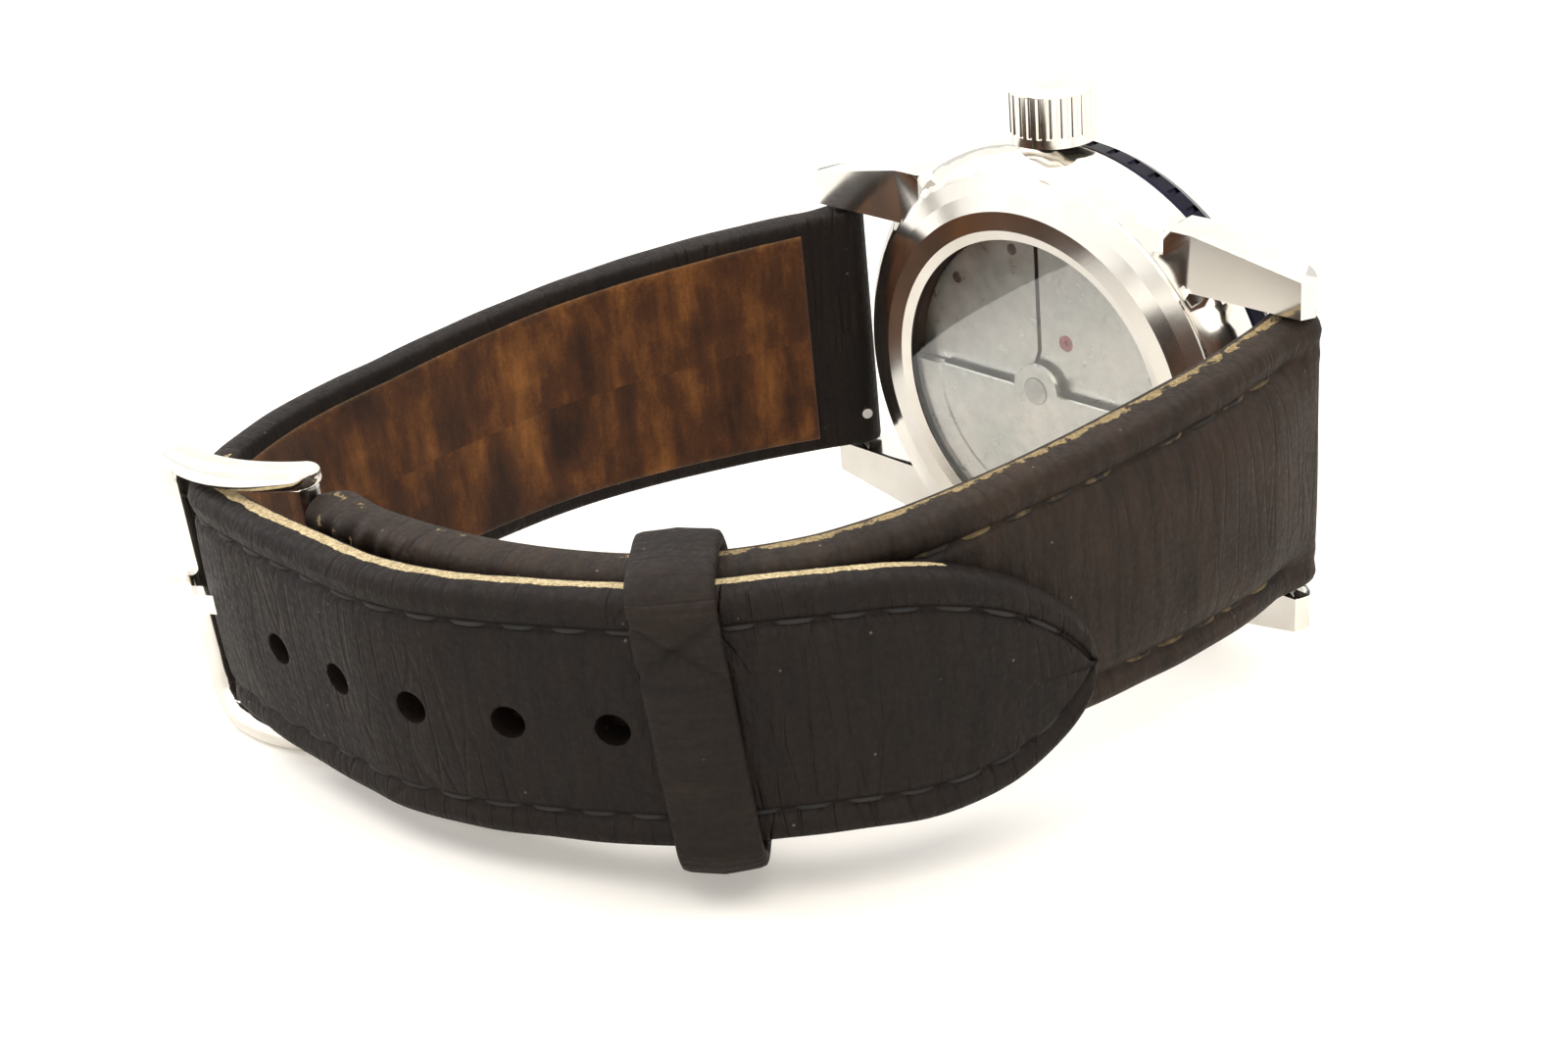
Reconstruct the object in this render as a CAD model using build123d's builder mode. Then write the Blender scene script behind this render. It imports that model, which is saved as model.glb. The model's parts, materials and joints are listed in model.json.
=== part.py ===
"""Automatic wristwatch on a padded leather strap, buckled and lying on its side.

The watch is modelled in the case's own frame, in millimetres: the case axis is Y (the dial faces
+Y, the caseback -Y), +X runs to the 12 o'clock lugs and +Z to the crown. Each finished piece is
then laid down into the resting frame, where +Z is up and the origin is the middle of the base.
"""
from build123d import *
from math import atan2, cos, degrees, hypot, pi, radians, sin, sqrt
import os

os.makedirs("parts", exist_ok=True)

# ---------------------------------------------------------------- driving dimensions
case_radius = 19.3
case_back_height = 1.35
case_belly_height = 2.9
case_shoulder_height = 5.3
neck_radius = 17.45
neck_height = 7.6
ring_face_radius = 14.9
glass_radius = 13.2
back_glass_thickness = 0.7
bezel_radius = 19.0
bezel_height = 7.9
crystal_thickness = 1.0
crystal_dome = 0.65
crown_radius = 3.3
crown_length = 4.4
crown_height = 4.4
crown_tube_radius = 0.85
crown_flutes = 26
crown_stand_off = 0.45
crown_base = case_radius + crown_stand_off
lug_inner_half = 11.05
lug_width = 2.65
lug_root_width = 4.4
bar_stand_off = 2.8
bar_reach = case_radius + bar_stand_off
bar_height = 3.4
bar_radius = 0.75
bar_tip_radius = 0.4
movement_radius = 12.8
strap_half_at_lugs = 10.75
strap_half_at_buckle = 9.1
padded_thickness = 4.4
lug_end_thickness = 3.9
short_thickness = 3.2
long_thickness = 2.7
lining_thickness = 1.0
glue_line = 0.04
fold_swell = 0.9
hole_radius = 1.15
hole_pitch = 6.1
hole_count = 7
keeper_width = 6.0
keeper_wall = 1.2
buckle_bar_radius = 0.75
buckle_wall = 1.8
dee_radius = 1.0
tongue_width = 1.5
tongue_thickness = 1.1

# Clearances.
running = 0.05
press_gap = 0.02
soft_gap = 0.35
stand_off_at_buckle = 1.15
seat_gap = 0.05

# Motion limits.
crown_pull = 1.4
release_travel = 1.2
keeper_travel_degrees = 7.0
frame_lift_degrees = 3.0
tongue_lift_degrees = 4.0

# Levels along the case axis.
rotor_level = 1.35
bridge_level = 2.4
bridge_thickness = 0.6
plate_level = 4.2
plate_thickness = 0.8
dial_level = 5.55
dial_thickness = 0.35
hour_hand_level = 6.15
minute_hand_level = 6.5
second_hand_level = 6.85
hand_thickness = 0.12
crystal_level = 7.25

bridge_top = bridge_level + bridge_thickness
plate_top = plate_level + plate_thickness
dial_top = dial_level + dial_thickness

# Going train: teeth, modules and the places of the arbors in the X-Z plane.
barrel_teeth = 84
centre_pinion_teeth = 12
centre_teeth = 80
third_pinion_teeth = 10
third_teeth = 75
fourth_pinion_teeth = 10
fourth_teeth = 80
escape_pinion_teeth = 8
escape_teeth = 15
cannon_teeth = 12
minute_teeth = 36
minute_pinion_teeth = 10
hour_teeth = 40
barrel_module = 0.13
centre_module = 0.11
fourth_module = 0.112
cannon_module = 0.13

third_distance = centre_module * (centre_teeth + third_pinion_teeth) / 2
third_module = 2 * third_distance / (third_teeth + fourth_pinion_teeth)
barrel_distance = barrel_module * (barrel_teeth + centre_pinion_teeth) / 2
escape_distance = fourth_module * (fourth_teeth + escape_pinion_teeth) / 2
minute_distance = cannon_module * (cannon_teeth + minute_teeth) / 2
hour_module = 2 * minute_distance / (minute_pinion_teeth + hour_teeth)


def polar(distance, degrees_round):
    """A point in the movement's plane at a distance and direction from the case axis."""
    return (distance * cos(radians(degrees_round)), distance * sin(radians(degrees_round)))


barrel_direction = 200
third_direction = 60
escape_direction = 330
minute_direction = 100
centre_at = (0.0, 0.0)
barrel_at = polar(barrel_distance, barrel_direction)
third_at = polar(third_distance, third_direction)
escape_at = polar(escape_distance, escape_direction)
minute_at = polar(minute_distance, minute_direction)
balance_at = (4.2, -8.0)
balance_radius = 3.4
pallet_share = 0.47
pallet_at = tuple(e + pallet_share * (b - e) for e, b in zip(escape_at, balance_at))
escape_radius = 2.1
pivot_radius = 0.13
arbor_radius = 0.28
jewel_radius = 0.65
train_arbors = [third_at, escape_at]


# ---------------------------------------------------------------- helpers
def level(height):
    """The plane across the case axis at a height above the caseback's face, seen from the back."""
    return Plane.XZ.offset(-height)


def lathe(*outline, mode=Mode.ADD):
    """Turn a closed (radius, height) outline round the case axis."""
    with BuildSketch() as section:
        with BuildLine():
            Polyline(*outline, close=True)
        make_face()
    revolve(section.sketch, axis=Axis.Y, mode=mode)


def post(centre, radius, low, high, mode=Mode.ADD):
    """A round post along the case axis between two heights."""
    with BuildSketch(level(low)) as face:
        with Locations(centre):
            Circle(radius)
    extrude(face.sketch, amount=low - high, mode=mode)


def slab(outline, low, high, mode=Mode.ADD):
    """A flat plate of the given outline (points in the X-Z plane) between two heights."""
    with BuildSketch(level(low)) as face:
        with BuildLine():
            Polyline(*outline, close=True)
        make_face()
    extrude(face.sketch, amount=low - high, mode=mode)


def tooth_outline(teeth, module, centre, facing, gap_first=False, tip=0.75, root=0.95):
    """Flat-sided gear teeth with backlash; a tooth (or a gap) points in the facing direction."""
    pitch_radius = module * teeth / 2
    step = 2 * pi / teeth
    start = radians(facing) + (step / 2 if gap_first else 0)
    outline = []
    for tooth in range(teeth):
        middle = start + tooth * step
        for share, radius in ((-0.30, -root), (-0.10, tip), (0.10, tip), (0.30, -root)):
            angle = middle + share * step
            reach = pitch_radius + radius * module
            outline.append((centre[0] + reach * cos(angle), centre[1] + reach * sin(angle)))
    return outline


def bar_along_z(x, y, radius, low, high, mode=Mode.ADD):
    """A round bar parallel to the crown's axis."""
    with BuildSketch(Plane.XY.offset(low)) as face:
        with Locations((x, y)):
            Circle(radius)
    extrude(face.sketch, amount=high - low, mode=mode)


finished = []


def keep(piece, name):
    """Remember a finished piece under its node name; it is laid down and written at the end."""
    piece.part.label = name
    finished.append(piece)


# ---------------------------------------------------------------- case
lug_end = bar_reach + 2.1

with BuildPart() as lug:
    with BuildSketch(Plane.XY.offset(lug_inner_half)) as lug_side:
        with BuildLine():
            Line((12, case_shoulder_height), (case_radius - 1.1, case_shoulder_height))
            Spline(
                (case_radius - 1.1, case_shoulder_height),
                (bar_reach - 0.3, case_shoulder_height - 0.6),
                (lug_end, bar_height - 0.7),
                tangents=[(1, 0), (0.35, -1)],
            )
            Line((lug_end, bar_height - 0.7), (lug_end - 0.5, bar_height - 1.7))
            Line((lug_end - 0.5, bar_height - 1.7), (bar_reach - 2.1, 1.75))
            Line((bar_reach - 2.1, 1.75), (12, 1.75))
            Line((12, 1.75), (12, case_shoulder_height))
        make_face()
    extrude(lug_side.sketch, amount=lug_root_width)
    with BuildSketch(level(1)) as lug_plan:
        with BuildLine():
            Polyline(
                (12, lug_inner_half),
                (lug_end + 0.2, lug_inner_half),
                (lug_end + 0.2, lug_inner_half + lug_width),
                (14.5, lug_inner_half + lug_root_width),
                (12, lug_inner_half + lug_root_width),
                close=True,
            )
        make_face()
    extrude(lug_plan.sketch, amount=-6, mode=Mode.INTERSECT)

with BuildPart() as case_middle:
    lathe(
        (0, case_back_height),
        (neck_radius + 0.15, case_back_height),
        (case_radius, case_belly_height),
        (case_radius, case_shoulder_height - 0.4),
        (case_radius - 0.4, case_shoulder_height),
        (neck_radius, case_shoulder_height),
        (neck_radius, neck_height),
        (0, neck_height),
    )
    add(lug.part)
    add(mirror(lug.part, about=Plane.YZ, mode=Mode.PRIVATE))
    add(mirror(lug.part, about=Plane.XY, mode=Mode.PRIVATE))
    add(mirror(mirror(lug.part, about=Plane.YZ, mode=Mode.PRIVATE), about=Plane.XY, mode=Mode.PRIVATE))
    # The stepped cavity: back thread, movement room, dial window and crystal seat.
    lathe((0, 1), (16.7, 1), (16.7, 2.7), (0, 2.7), mode=Mode.SUBTRACT)
    lathe((0, 2.6), (16.4, 2.6), (16.4, 6.0), (0, 6.0), mode=Mode.SUBTRACT)
    lathe((0, 5.9), (15.9, 5.9), (15.9, 7.2), (0, 7.2), mode=Mode.SUBTRACT)
    lathe((0, 7.15), (16.95, 7.15), (16.95, 8), (0, 8), mode=Mode.SUBTRACT)
    # Holes for the bar tips, and the bore that the crown tube is pressed into.
    for side in (-1, 1):
        bar_along_z(side * bar_reach, bar_height, bar_tip_radius + running, -12.6, 12.6, Mode.SUBTRACT)
    bar_along_z(0, crown_height, crown_tube_radius + press_gap, 15, 20, Mode.SUBTRACT)
keep(case_middle, "case_middle")

with BuildPart() as crown_tube:
    bar_along_z(0, crown_height, crown_tube_radius, 16.5, crown_base + 0.85)
    bar_along_z(0, crown_height, 0.55, 16, crown_base + 1.25, Mode.SUBTRACT)
keep(crown_tube, "crown_tube")

with BuildPart() as caseback_ring:
    lathe(
        (glass_radius - 0.6, 0.28),
        (13.4, 0),
        (ring_face_radius, 0),
        (16.2, 0.45),
        (17.5, 0.95),
        (17.5, case_back_height - seat_gap),
        (16.15, case_back_height - seat_gap),
        (16.15, 1.95),
        (16.6, 1.95),
        (16.6, 2.5),
        (14.9, 2.5),
        (14.9, 1.1),
        (glass_radius + running, 1.1),
        (glass_radius + running, 0.3),
        (glass_radius - 0.6, 0.3),
    )
keep(caseback_ring, "caseback_ring")

back_glass_level = 0.35

with BuildPart() as caseback_glass:
    lathe(
        (0, back_glass_level),
        (glass_radius, back_glass_level),
        (glass_radius, back_glass_level + back_glass_thickness),
        (0, back_glass_level + back_glass_thickness),
    )
keep(caseback_glass, "caseback_glass")

with BuildPart() as caseback_gasket:
    lathe((16.2, 1.4), (16.65, 1.4), (16.65, 1.85), (16.2, 1.85))
keep(caseback_gasket, "caseback_gasket")

with BuildPart() as bezel:
    lathe(
        (neck_radius + running, case_shoulder_height + seat_gap),
        (bezel_radius - 0.15, case_shoulder_height + seat_gap),
        (bezel_radius, case_shoulder_height + 0.35),
        (bezel_radius, bezel_height - 0.9),
        (bezel_radius - 0.45, bezel_height),
        (bezel_radius - 0.6, bezel_height),
        (bezel_radius - 0.6, bezel_height - 0.3),
        (neck_radius + running, bezel_height - 0.3),
    )
    with BuildSketch(level(case_shoulder_height + 0.6)) as notches:
        with PolarLocations(bezel_radius + 0.12, 60):
            Circle(0.3)
    extrude(notches.sketch, amount=-1.1, mode=Mode.SUBTRACT)
keep(bezel, "bezel")

with BuildPart() as bezel_insert:
    lathe(
        (neck_radius + 0.1, bezel_height - 0.28),
        (bezel_radius - 0.65, bezel_height - 0.28),
        (bezel_radius - 0.65, bezel_height),
        (neck_radius + 0.1, bezel_height + 0.05),
    )
keep(bezel_insert, "bezel_insert")

crystal_radius = 16.4
dome_bend = (crystal_radius**2 + crystal_dome**2) / (2 * crystal_dome)
dome_half_drop = dome_bend - sqrt(dome_bend**2 - crystal_radius**2 / 4)
crystal_edge = crystal_level + crystal_thickness

with BuildPart() as crystal:
    with BuildSketch() as crystal_section:
        with BuildLine():
            Line((0, crystal_level), (crystal_radius, crystal_level))
            Line((crystal_radius, crystal_level), (crystal_radius, crystal_edge))
            ThreePointArc(
                (crystal_radius, crystal_edge),
                (crystal_radius / 2, crystal_edge + crystal_dome - dome_half_drop),
                (0, crystal_edge + crystal_dome),
            )
            Line((0, crystal_edge + crystal_dome), (0, crystal_level))
        make_face()
    revolve(crystal_section.sketch, axis=Axis.Y)
keep(crystal, "crystal")

with BuildPart() as crystal_gasket:
    lathe((16.43, 7.2), (16.92, 7.2), (16.92, 7.9), (16.43, 7.9))
keep(crystal_gasket, "crystal_gasket")

with BuildPart() as rehaut_ring:
    lathe((15.85, dial_top + seat_gap), (14.4, dial_top + seat_gap), (14.4, 6.1), (15.3, 7.1), (15.85, 7.1))
keep(rehaut_ring, "rehaut_ring")

# ---------------------------------------------------------------- crown, stem and setting lever
crown_top = crown_base + crown_length
stem_radius = 0.3
stem_foot = 7.6
lever_reach = 9.9

with BuildPart() as crown:
    bar_along_z(0, crown_height, crown_radius, crown_base, crown_top)
    chamfer(crown.edges().filter_by(GeomType.CIRCLE).group_by(Axis.Z)[-1], length=0.5)
    with BuildSketch(Plane.XY.offset(crown_base + 0.7)) as flutes:
        with Locations((0, crown_height)):
            with PolarLocations(crown_radius + 0.12, crown_flutes):
                Circle(0.26)
    extrude(flutes.sketch, amount=crown_length - 1.3, mode=Mode.SUBTRACT)
    bar_along_z(0, crown_height, 1.75, crown_base - 1, crown_base + 1.7, Mode.SUBTRACT)
    bar_along_z(0, crown_height, stem_radius, crown_base, crown_base + 3.2, Mode.SUBTRACT)
keep(crown, "crown")

with BuildPart() as crown_gasket:
    bar_along_z(0, crown_height, 1.7, crown_base + 0.1, crown_base + 0.8)
    bar_along_z(0, crown_height, crown_tube_radius + running, crown_base, crown_base + 1, Mode.SUBTRACT)
keep(crown_gasket, "crown_gasket")

with BuildPart() as stem:
    bar_along_z(0, crown_height, stem_radius, stem_foot, crown_base + 3.1)
    for collar in (lever_reach - 0.65, lever_reach + 0.3):
        bar_along_z(0, crown_height, 0.45, collar, collar + 0.35)
keep(stem, "stem")

with BuildPart() as setting_lever:
    slab([(-0.4, 9.3), (2.9, 9.0), (3.2, 10.2), (-0.4, 10.5)], plate_top + seat_gap, plate_top + 0.3)
    post((stem_radius + 0.27, lever_reach), 0.2, crown_height - 0.3, plate_top + 0.1)
keep(setting_lever, "setting_lever")

# ---------------------------------------------------------------- movement: plate and bridges
stem_slot = [(-0.62, 7.2), (0.95, 7.2), (0.95, 13.2), (-0.62, 13.2)]

with BuildPart() as movement_ring:
    lathe((12.95, 2.75), (16.3, 2.75), (16.3, 5.45), (12.95, 5.45))
    bar_along_z(0, crown_height, 0.55, 12, 17, Mode.SUBTRACT)
keep(movement_ring, "movement_ring")

with BuildPart() as main_plate:
    lathe((0, plate_level), (movement_radius, plate_level), (movement_radius, plate_top), (0, plate_top))
    post(centre_at, 0.75, plate_level - 0.1, plate_top + 0.1, Mode.SUBTRACT)
    for place in train_arbors + [pallet_at, balance_at, barrel_at]:
        post(place, jewel_radius + press_gap, plate_level - 0.1, plate_top + 0.1, Mode.SUBTRACT)
    slab(stem_slot, plate_level - 0.1, plate_top + 0.1, Mode.SUBTRACT)
    post(minute_at, 0.3, plate_top - 0.2, dial_level - 0.05)
keep(main_plate, "main_plate")

screw_places_barrel = [(-8.5, 7.5), (-3.5, -10.8), (-2.6, 11.0)]
screw_places_train = [(4.5, 10.4), (10.8, 3.2), (11.0, -2.2)]
cock_foot = (10.4, -5.9)
screw_radius = 0.45
pillar_radius = 0.95


def bridge_blank(outline, pillars):
    """A bridge: the movement's disc trimmed to an outline, on round pillars with screw holes."""
    with BuildSketch(level(bridge_level)) as face:
        Circle(movement_radius - 0.2)
        with BuildLine() as border:
            Polyline(*outline, close=True)
        make_face(border.line, mode=Mode.INTERSECT)
    extrude(face.sketch, amount=-bridge_thickness)
    for place in pillars:
        post(place, pillar_radius, bridge_top - 0.05, plate_level)
        post(place, screw_radius + press_gap, bridge_level - 0.1, plate_level - 0.3, Mode.SUBTRACT)


with BuildPart() as barrel_bridge:
    bridge_blank(
        [(-14, -14), (-2.2, -14), (-2.2, -2.2), (-0.4, 3.0), (-0.4, 14), (-14, 14)],
        screw_places_barrel,
    )
    post(barrel_at, jewel_radius + press_gap, bridge_level - 0.1, bridge_top + 0.1, Mode.SUBTRACT)
keep(barrel_bridge, "barrel_bridge")

with BuildPart() as train_bridge:
    bridge_blank(
        [(-1.9, -2.3), (0, 3.1), (0, 14), (14, 14), (14, -3.7), (2, -3.7), (0.5, -2.3)],
        screw_places_train,
    )
    for place in [centre_at] + train_arbors:
        post(place, jewel_radius + press_gap, bridge_level - 0.1, bridge_top + 0.1, Mode.SUBTRACT)
    post(balance_at, balance_radius + 0.25, bridge_level - 0.1, bridge_top + 0.1, Mode.SUBTRACT)
keep(train_bridge, "train_bridge")

with BuildPart() as balance_cock:
    slab(
        [(3.2, -7.0), (3.1, -8.6), (4.3, -9.2), (10.2, -7.3), (11.6, -5.4), (10.9, -4.6), (9.4, -4.7)],
        bridge_level - 0.1,
        bridge_top - 0.35,
    )
    post(cock_foot, 1.0, bridge_level - 0.1, plate_level)
    post(cock_foot, screw_radius + press_gap, bridge_level - 0.2, plate_level - 0.3, Mode.SUBTRACT)
    post(balance_at, 0.5 + press_gap, bridge_level - 0.2, bridge_top, Mode.SUBTRACT)
keep(balance_cock, "balance_cock")

with BuildPart() as bridge_screws:
    for place in screw_places_barrel + screw_places_train + [cock_foot]:
        post(place, screw_radius, bridge_level - 0.05, plate_level - 0.35)
    for place in screw_places_barrel + screw_places_train + [cock_foot]:
        post(place, 0.08, bridge_level - 0.1, bridge_level + 0.1, Mode.SUBTRACT)
keep(bridge_screws, "bridge_screws")


def jewel(place, radius, low, high):
    """A ring jewel: a short post with a pivot hole."""
    post(place, radius, low, high)
    post(place, pivot_radius + running, low - 0.1, high + 0.1, Mode.SUBTRACT)


with BuildPart() as train_jewels:
    for place in [centre_at] + train_arbors + [barrel_at]:
        jewel(place, jewel_radius, bridge_level + 0.05, bridge_top)
    jewel(balance_at, 0.5, bridge_level - 0.05, bridge_top - 0.4)
keep(train_jewels, "train_jewels")

with BuildPart() as plate_jewels:
    for place in train_arbors + [pallet_at, balance_at, barrel_at]:
        jewel(place, jewel_radius, plate_level, plate_top - 0.1)
keep(plate_jewels, "plate_jewels")

# ---------------------------------------------------------------- movement: wheels
barrel_low = 3.62
barrel_high = 4.12
centre_wheel_level = 3.44
third_wheel_level = 3.24
fourth_wheel_level = 3.06
wheel_thickness = 0.12


def arbor(
    place,
    low=bridge_level + 0.2,
    high=plate_top - 0.25,
    shoulder_low=bridge_top + 0.04,
    shoulder_high=plate_level - 0.04,
):
    """A wheel's arbor: a thick middle between two thin pivots."""
    post(place, pivot_radius, low, high)
    post(place, arbor_radius, shoulder_low, shoulder_high)


def toothed(teeth, module, centre, facing, low, high, gap_first=False):
    """A toothed disc between two heights."""
    slab(tooth_outline(teeth, module, centre, facing, gap_first), low, high)


def crossings(centre, rim, low, high, arms=5, hub=0.9):
    """Open a wheel between its hub and rim, leaving straight arms."""
    with BuildSketch(level(low - 0.1)) as window:
        with Locations(centre):
            Circle(rim)
            Circle(hub, mode=Mode.SUBTRACT)
            with PolarLocations(0, arms):
                Rectangle(2 * rim, 0.35, align=(Align.MIN, Align.CENTER), mode=Mode.SUBTRACT)
    extrude(window.sketch, amount=low - high - 0.2, mode=Mode.SUBTRACT)


barrel_radius = barrel_module * barrel_teeth / 2
drum_radius = barrel_radius - 0.45

with BuildPart() as barrel:
    toothed(barrel_teeth, barrel_module, barrel_at, barrel_direction + 180, barrel_low, barrel_low + 0.2)
    post(barrel_at, drum_radius, barrel_low, barrel_high)
    post(barrel_at, drum_radius - 0.25, barrel_low + 0.1, barrel_high - 0.1, Mode.SUBTRACT)
    arbor(barrel_at)
keep(barrel, "barrel")

with BuildPart() as mainspring:
    spring_turns = 7
    spring_steps = 24
    spring_outline = []
    for edge in (0.0, 0.16):
        side_points = []
        for step in range(spring_turns * spring_steps + 1):
            radius = 1.2 + edge + (drum_radius - 0.5 - 1.2) * step / (spring_turns * spring_steps)
            angle = 2 * pi * step / spring_steps
            side_points.append((barrel_at[0] + radius * cos(angle), barrel_at[1] + radius * sin(angle)))
        spring_outline += side_points if edge == 0.0 else side_points[::-1]
    slab(spring_outline, barrel_low + 0.13, barrel_high - 0.13)
keep(mainspring, "mainspring")

with BuildPart() as centre_wheel:
    toothed(centre_pinion_teeth, barrel_module, centre_at, barrel_direction, barrel_low, barrel_high, True)
    toothed(
        centre_teeth,
        centre_module,
        centre_at,
        third_direction,
        centre_wheel_level,
        centre_wheel_level + wheel_thickness,
    )
    crossings(
        centre_at,
        centre_module * centre_teeth / 2 - 0.45,
        centre_wheel_level,
        centre_wheel_level + wheel_thickness,
    )
    post(centre_at, 0.6, centre_wheel_level - 0.04, barrel_high)
    post(centre_at, 0.5, barrel_high - 0.1, minute_hand_level + hand_thickness)
    post(centre_at, 0.3, centre_wheel_level - 0.1, minute_hand_level + 0.3, Mode.SUBTRACT)
keep(centre_wheel, "centre_wheel")

with BuildPart() as third_wheel:
    toothed(
        third_teeth,
        third_module,
        third_at,
        third_direction + 180,
        third_wheel_level,
        third_wheel_level + wheel_thickness,
    )
    crossings(
        third_at,
        third_module * third_teeth / 2 - 0.45,
        third_wheel_level,
        third_wheel_level + wheel_thickness,
    )
    toothed(
        third_pinion_teeth,
        centre_module,
        third_at,
        third_direction + 180,
        centre_wheel_level - 0.04,
        centre_wheel_level + 0.16,
        True,
    )
    arbor(third_at)
keep(third_wheel, "third_wheel")

with BuildPart() as fourth_wheel:
    toothed(
        fourth_teeth,
        fourth_module,
        centre_at,
        escape_direction,
        fourth_wheel_level,
        fourth_wheel_level + wheel_thickness,
    )
    crossings(
        centre_at,
        fourth_module * fourth_teeth / 2 - 0.45,
        fourth_wheel_level,
        fourth_wheel_level + wheel_thickness,
    )
    toothed(
        fourth_pinion_teeth,
        third_module,
        centre_at,
        third_direction,
        third_wheel_level - 0.04,
        third_wheel_level + 0.15,
        True,
    )
    post(centre_at, pivot_radius, bridge_level + 0.2, bridge_top + 0.1)
    post(centre_at, 0.24, bridge_top + 0.04, second_hand_level + hand_thickness)
keep(fourth_wheel, "fourth_wheel")

with BuildPart() as escape_wheel:
    toothed(
        escape_pinion_teeth,
        fourth_module,
        escape_at,
        escape_direction + 180,
        fourth_wheel_level - 0.02,
        fourth_wheel_level + 0.14,
        True,
    )
    club_outline = []
    for tooth in range(escape_teeth):
        base = 2 * pi * tooth / escape_teeth
        for share, radius in ((0.0, 1.5), (0.30, escape_radius), (0.42, escape_radius - 0.06), (0.34, 1.5)):
            angle = base + share * 2 * pi / escape_teeth
            club_outline.append((escape_at[0] + radius * cos(angle), escape_at[1] + radius * sin(angle)))
    slab(club_outline, barrel_low, barrel_low + wheel_thickness)
    crossings(escape_at, 1.3, barrel_low, barrel_low + wheel_thickness, 4, 0.5)
    arbor(escape_at)
keep(escape_wheel, "escape_wheel")

lever_run = (balance_at[0] - escape_at[0], balance_at[1] - escape_at[1])
lever_span = hypot(*lever_run)
lever_along = (lever_run[0] / lever_span, lever_run[1] / lever_span)
lever_across = (-lever_along[1], lever_along[0])


def on_lever(along, across):
    """A point given along and across the line from the escape wheel to the balance."""
    return (
        escape_at[0] + along * lever_along[0] + across * lever_across[0],
        escape_at[1] + along * lever_along[1] + across * lever_across[1],
    )


pallet_reach = pallet_share * lever_span
roller_radius = 0.5
fork_end = lever_span - roller_radius - 0.2
stone_across = 1.6
stone_swing = 0.22
stone_back = pallet_reach - sqrt((escape_radius + stone_swing) ** 2 - stone_across**2)

with BuildPart() as pallet_fork:
    slab(
        [
            on_lever(pallet_reach - stone_back, -stone_across),
            on_lever(pallet_reach - stone_back + 0.2, -stone_across - 0.15),
            on_lever(pallet_reach + 0.3, -0.3),
            on_lever(fork_end, -0.25),
            on_lever(fork_end, -0.12),
            on_lever(fork_end - 0.35, 0),
            on_lever(fork_end, 0.12),
            on_lever(fork_end, 0.25),
            on_lever(pallet_reach + 0.3, 0.3),
            on_lever(pallet_reach - stone_back + 0.2, stone_across + 0.15),
            on_lever(pallet_reach - stone_back, stone_across),
            on_lever(pallet_reach - 0.25, 0),
        ],
        barrel_low,
        barrel_low + 0.14,
    )
    post(pallet_at, arbor_radius, bridge_top + 0.35, plate_level - 0.04)
    post(pallet_at, pivot_radius, plate_level - 0.1, plate_top - 0.25)
keep(pallet_fork, "pallet_fork")

balance_level = bridge_top - 0.27

with BuildPart() as balance_wheel:
    post(balance_at, balance_radius, balance_level, balance_level + 0.2)
    crossings(balance_at, balance_radius - 0.35, balance_level, balance_level + 0.2, 2, 0.6)
    post(balance_at, pivot_radius, bridge_level + 0.05, plate_top - 0.25)
    post(balance_at, 0.25, balance_level, plate_level - 0.04)
    post(balance_at, roller_radius, barrel_low + 0.02, barrel_low + 0.14)
keep(balance_wheel, "balance_wheel")

with BuildPart() as hairspring:
    hair_turns = 9
    hair_steps = 20
    hair_outline = []
    for edge in (0.0, 0.05):
        side_points = []
        for step in range(hair_turns * hair_steps + 1):
            radius = 0.45 + edge + 1.5 * step / (hair_turns * hair_steps)
            angle = 2 * pi * step / hair_steps
            side_points.append((balance_at[0] + radius * cos(angle), balance_at[1] + radius * sin(angle)))
        hair_outline += side_points if edge == 0.0 else side_points[::-1]
    slab(hair_outline, balance_level + 0.24, balance_level + 0.36)
keep(hairspring, "hairspring")

rotor_radius = 12.4

with BuildPart() as rotor:
    with BuildSketch(Plane.XY) as rotor_section:
        with BuildLine():
            Polyline(
                (1.5, rotor_level + 0.1),
                (10.0, rotor_level + 0.1),
                (10.2, rotor_level),
                (rotor_radius, rotor_level),
                (rotor_radius, rotor_level + 0.85),
                (10.2, rotor_level + 0.85),
                (10.0, rotor_level + 0.4),
                (1.5, rotor_level + 0.4),
                close=True,
            )
        make_face()
    revolve(rotor_section.sketch, axis=Axis.Y, revolution_arc=180)
    post(centre_at, 2.2, rotor_level + 0.1, rotor_level + 0.5)
    post(centre_at, 1.15, rotor_level, rotor_level + 1, Mode.SUBTRACT)
keep(rotor, "rotor")

with BuildPart() as rotor_bearing:
    post(centre_at, 1.1, rotor_level + 0.05, bridge_level)
    post(centre_at, 1.5, rotor_level + 0.6, bridge_level)
keep(rotor_bearing, "rotor_bearing")

# ---------------------------------------------------------------- motion works, dial and hands
with BuildPart() as cannon_pinion:
    toothed(
        cannon_teeth,
        cannon_module,
        centre_at,
        minute_direction,
        plate_top + 0.06,
        plate_top + 0.2,
        True,
    )
    post(centre_at, 0.66, plate_top + 0.06, minute_hand_level)
    post(centre_at, 0.5, plate_top, minute_hand_level + 0.1, Mode.SUBTRACT)
keep(cannon_pinion, "cannon_pinion")

with BuildPart() as minute_wheel:
    toothed(
        minute_teeth,
        cannon_module,
        minute_at,
        minute_direction + 180,
        plate_top + 0.07,
        plate_top + 0.19,
    )
    toothed(
        minute_pinion_teeth,
        hour_module,
        minute_at,
        minute_direction + 180,
        plate_top + 0.18,
        plate_top + 0.42,
        True,
    )
    post(minute_at, 0.3 + running, plate_top, dial_level, Mode.SUBTRACT)
keep(minute_wheel, "minute_wheel")

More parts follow.
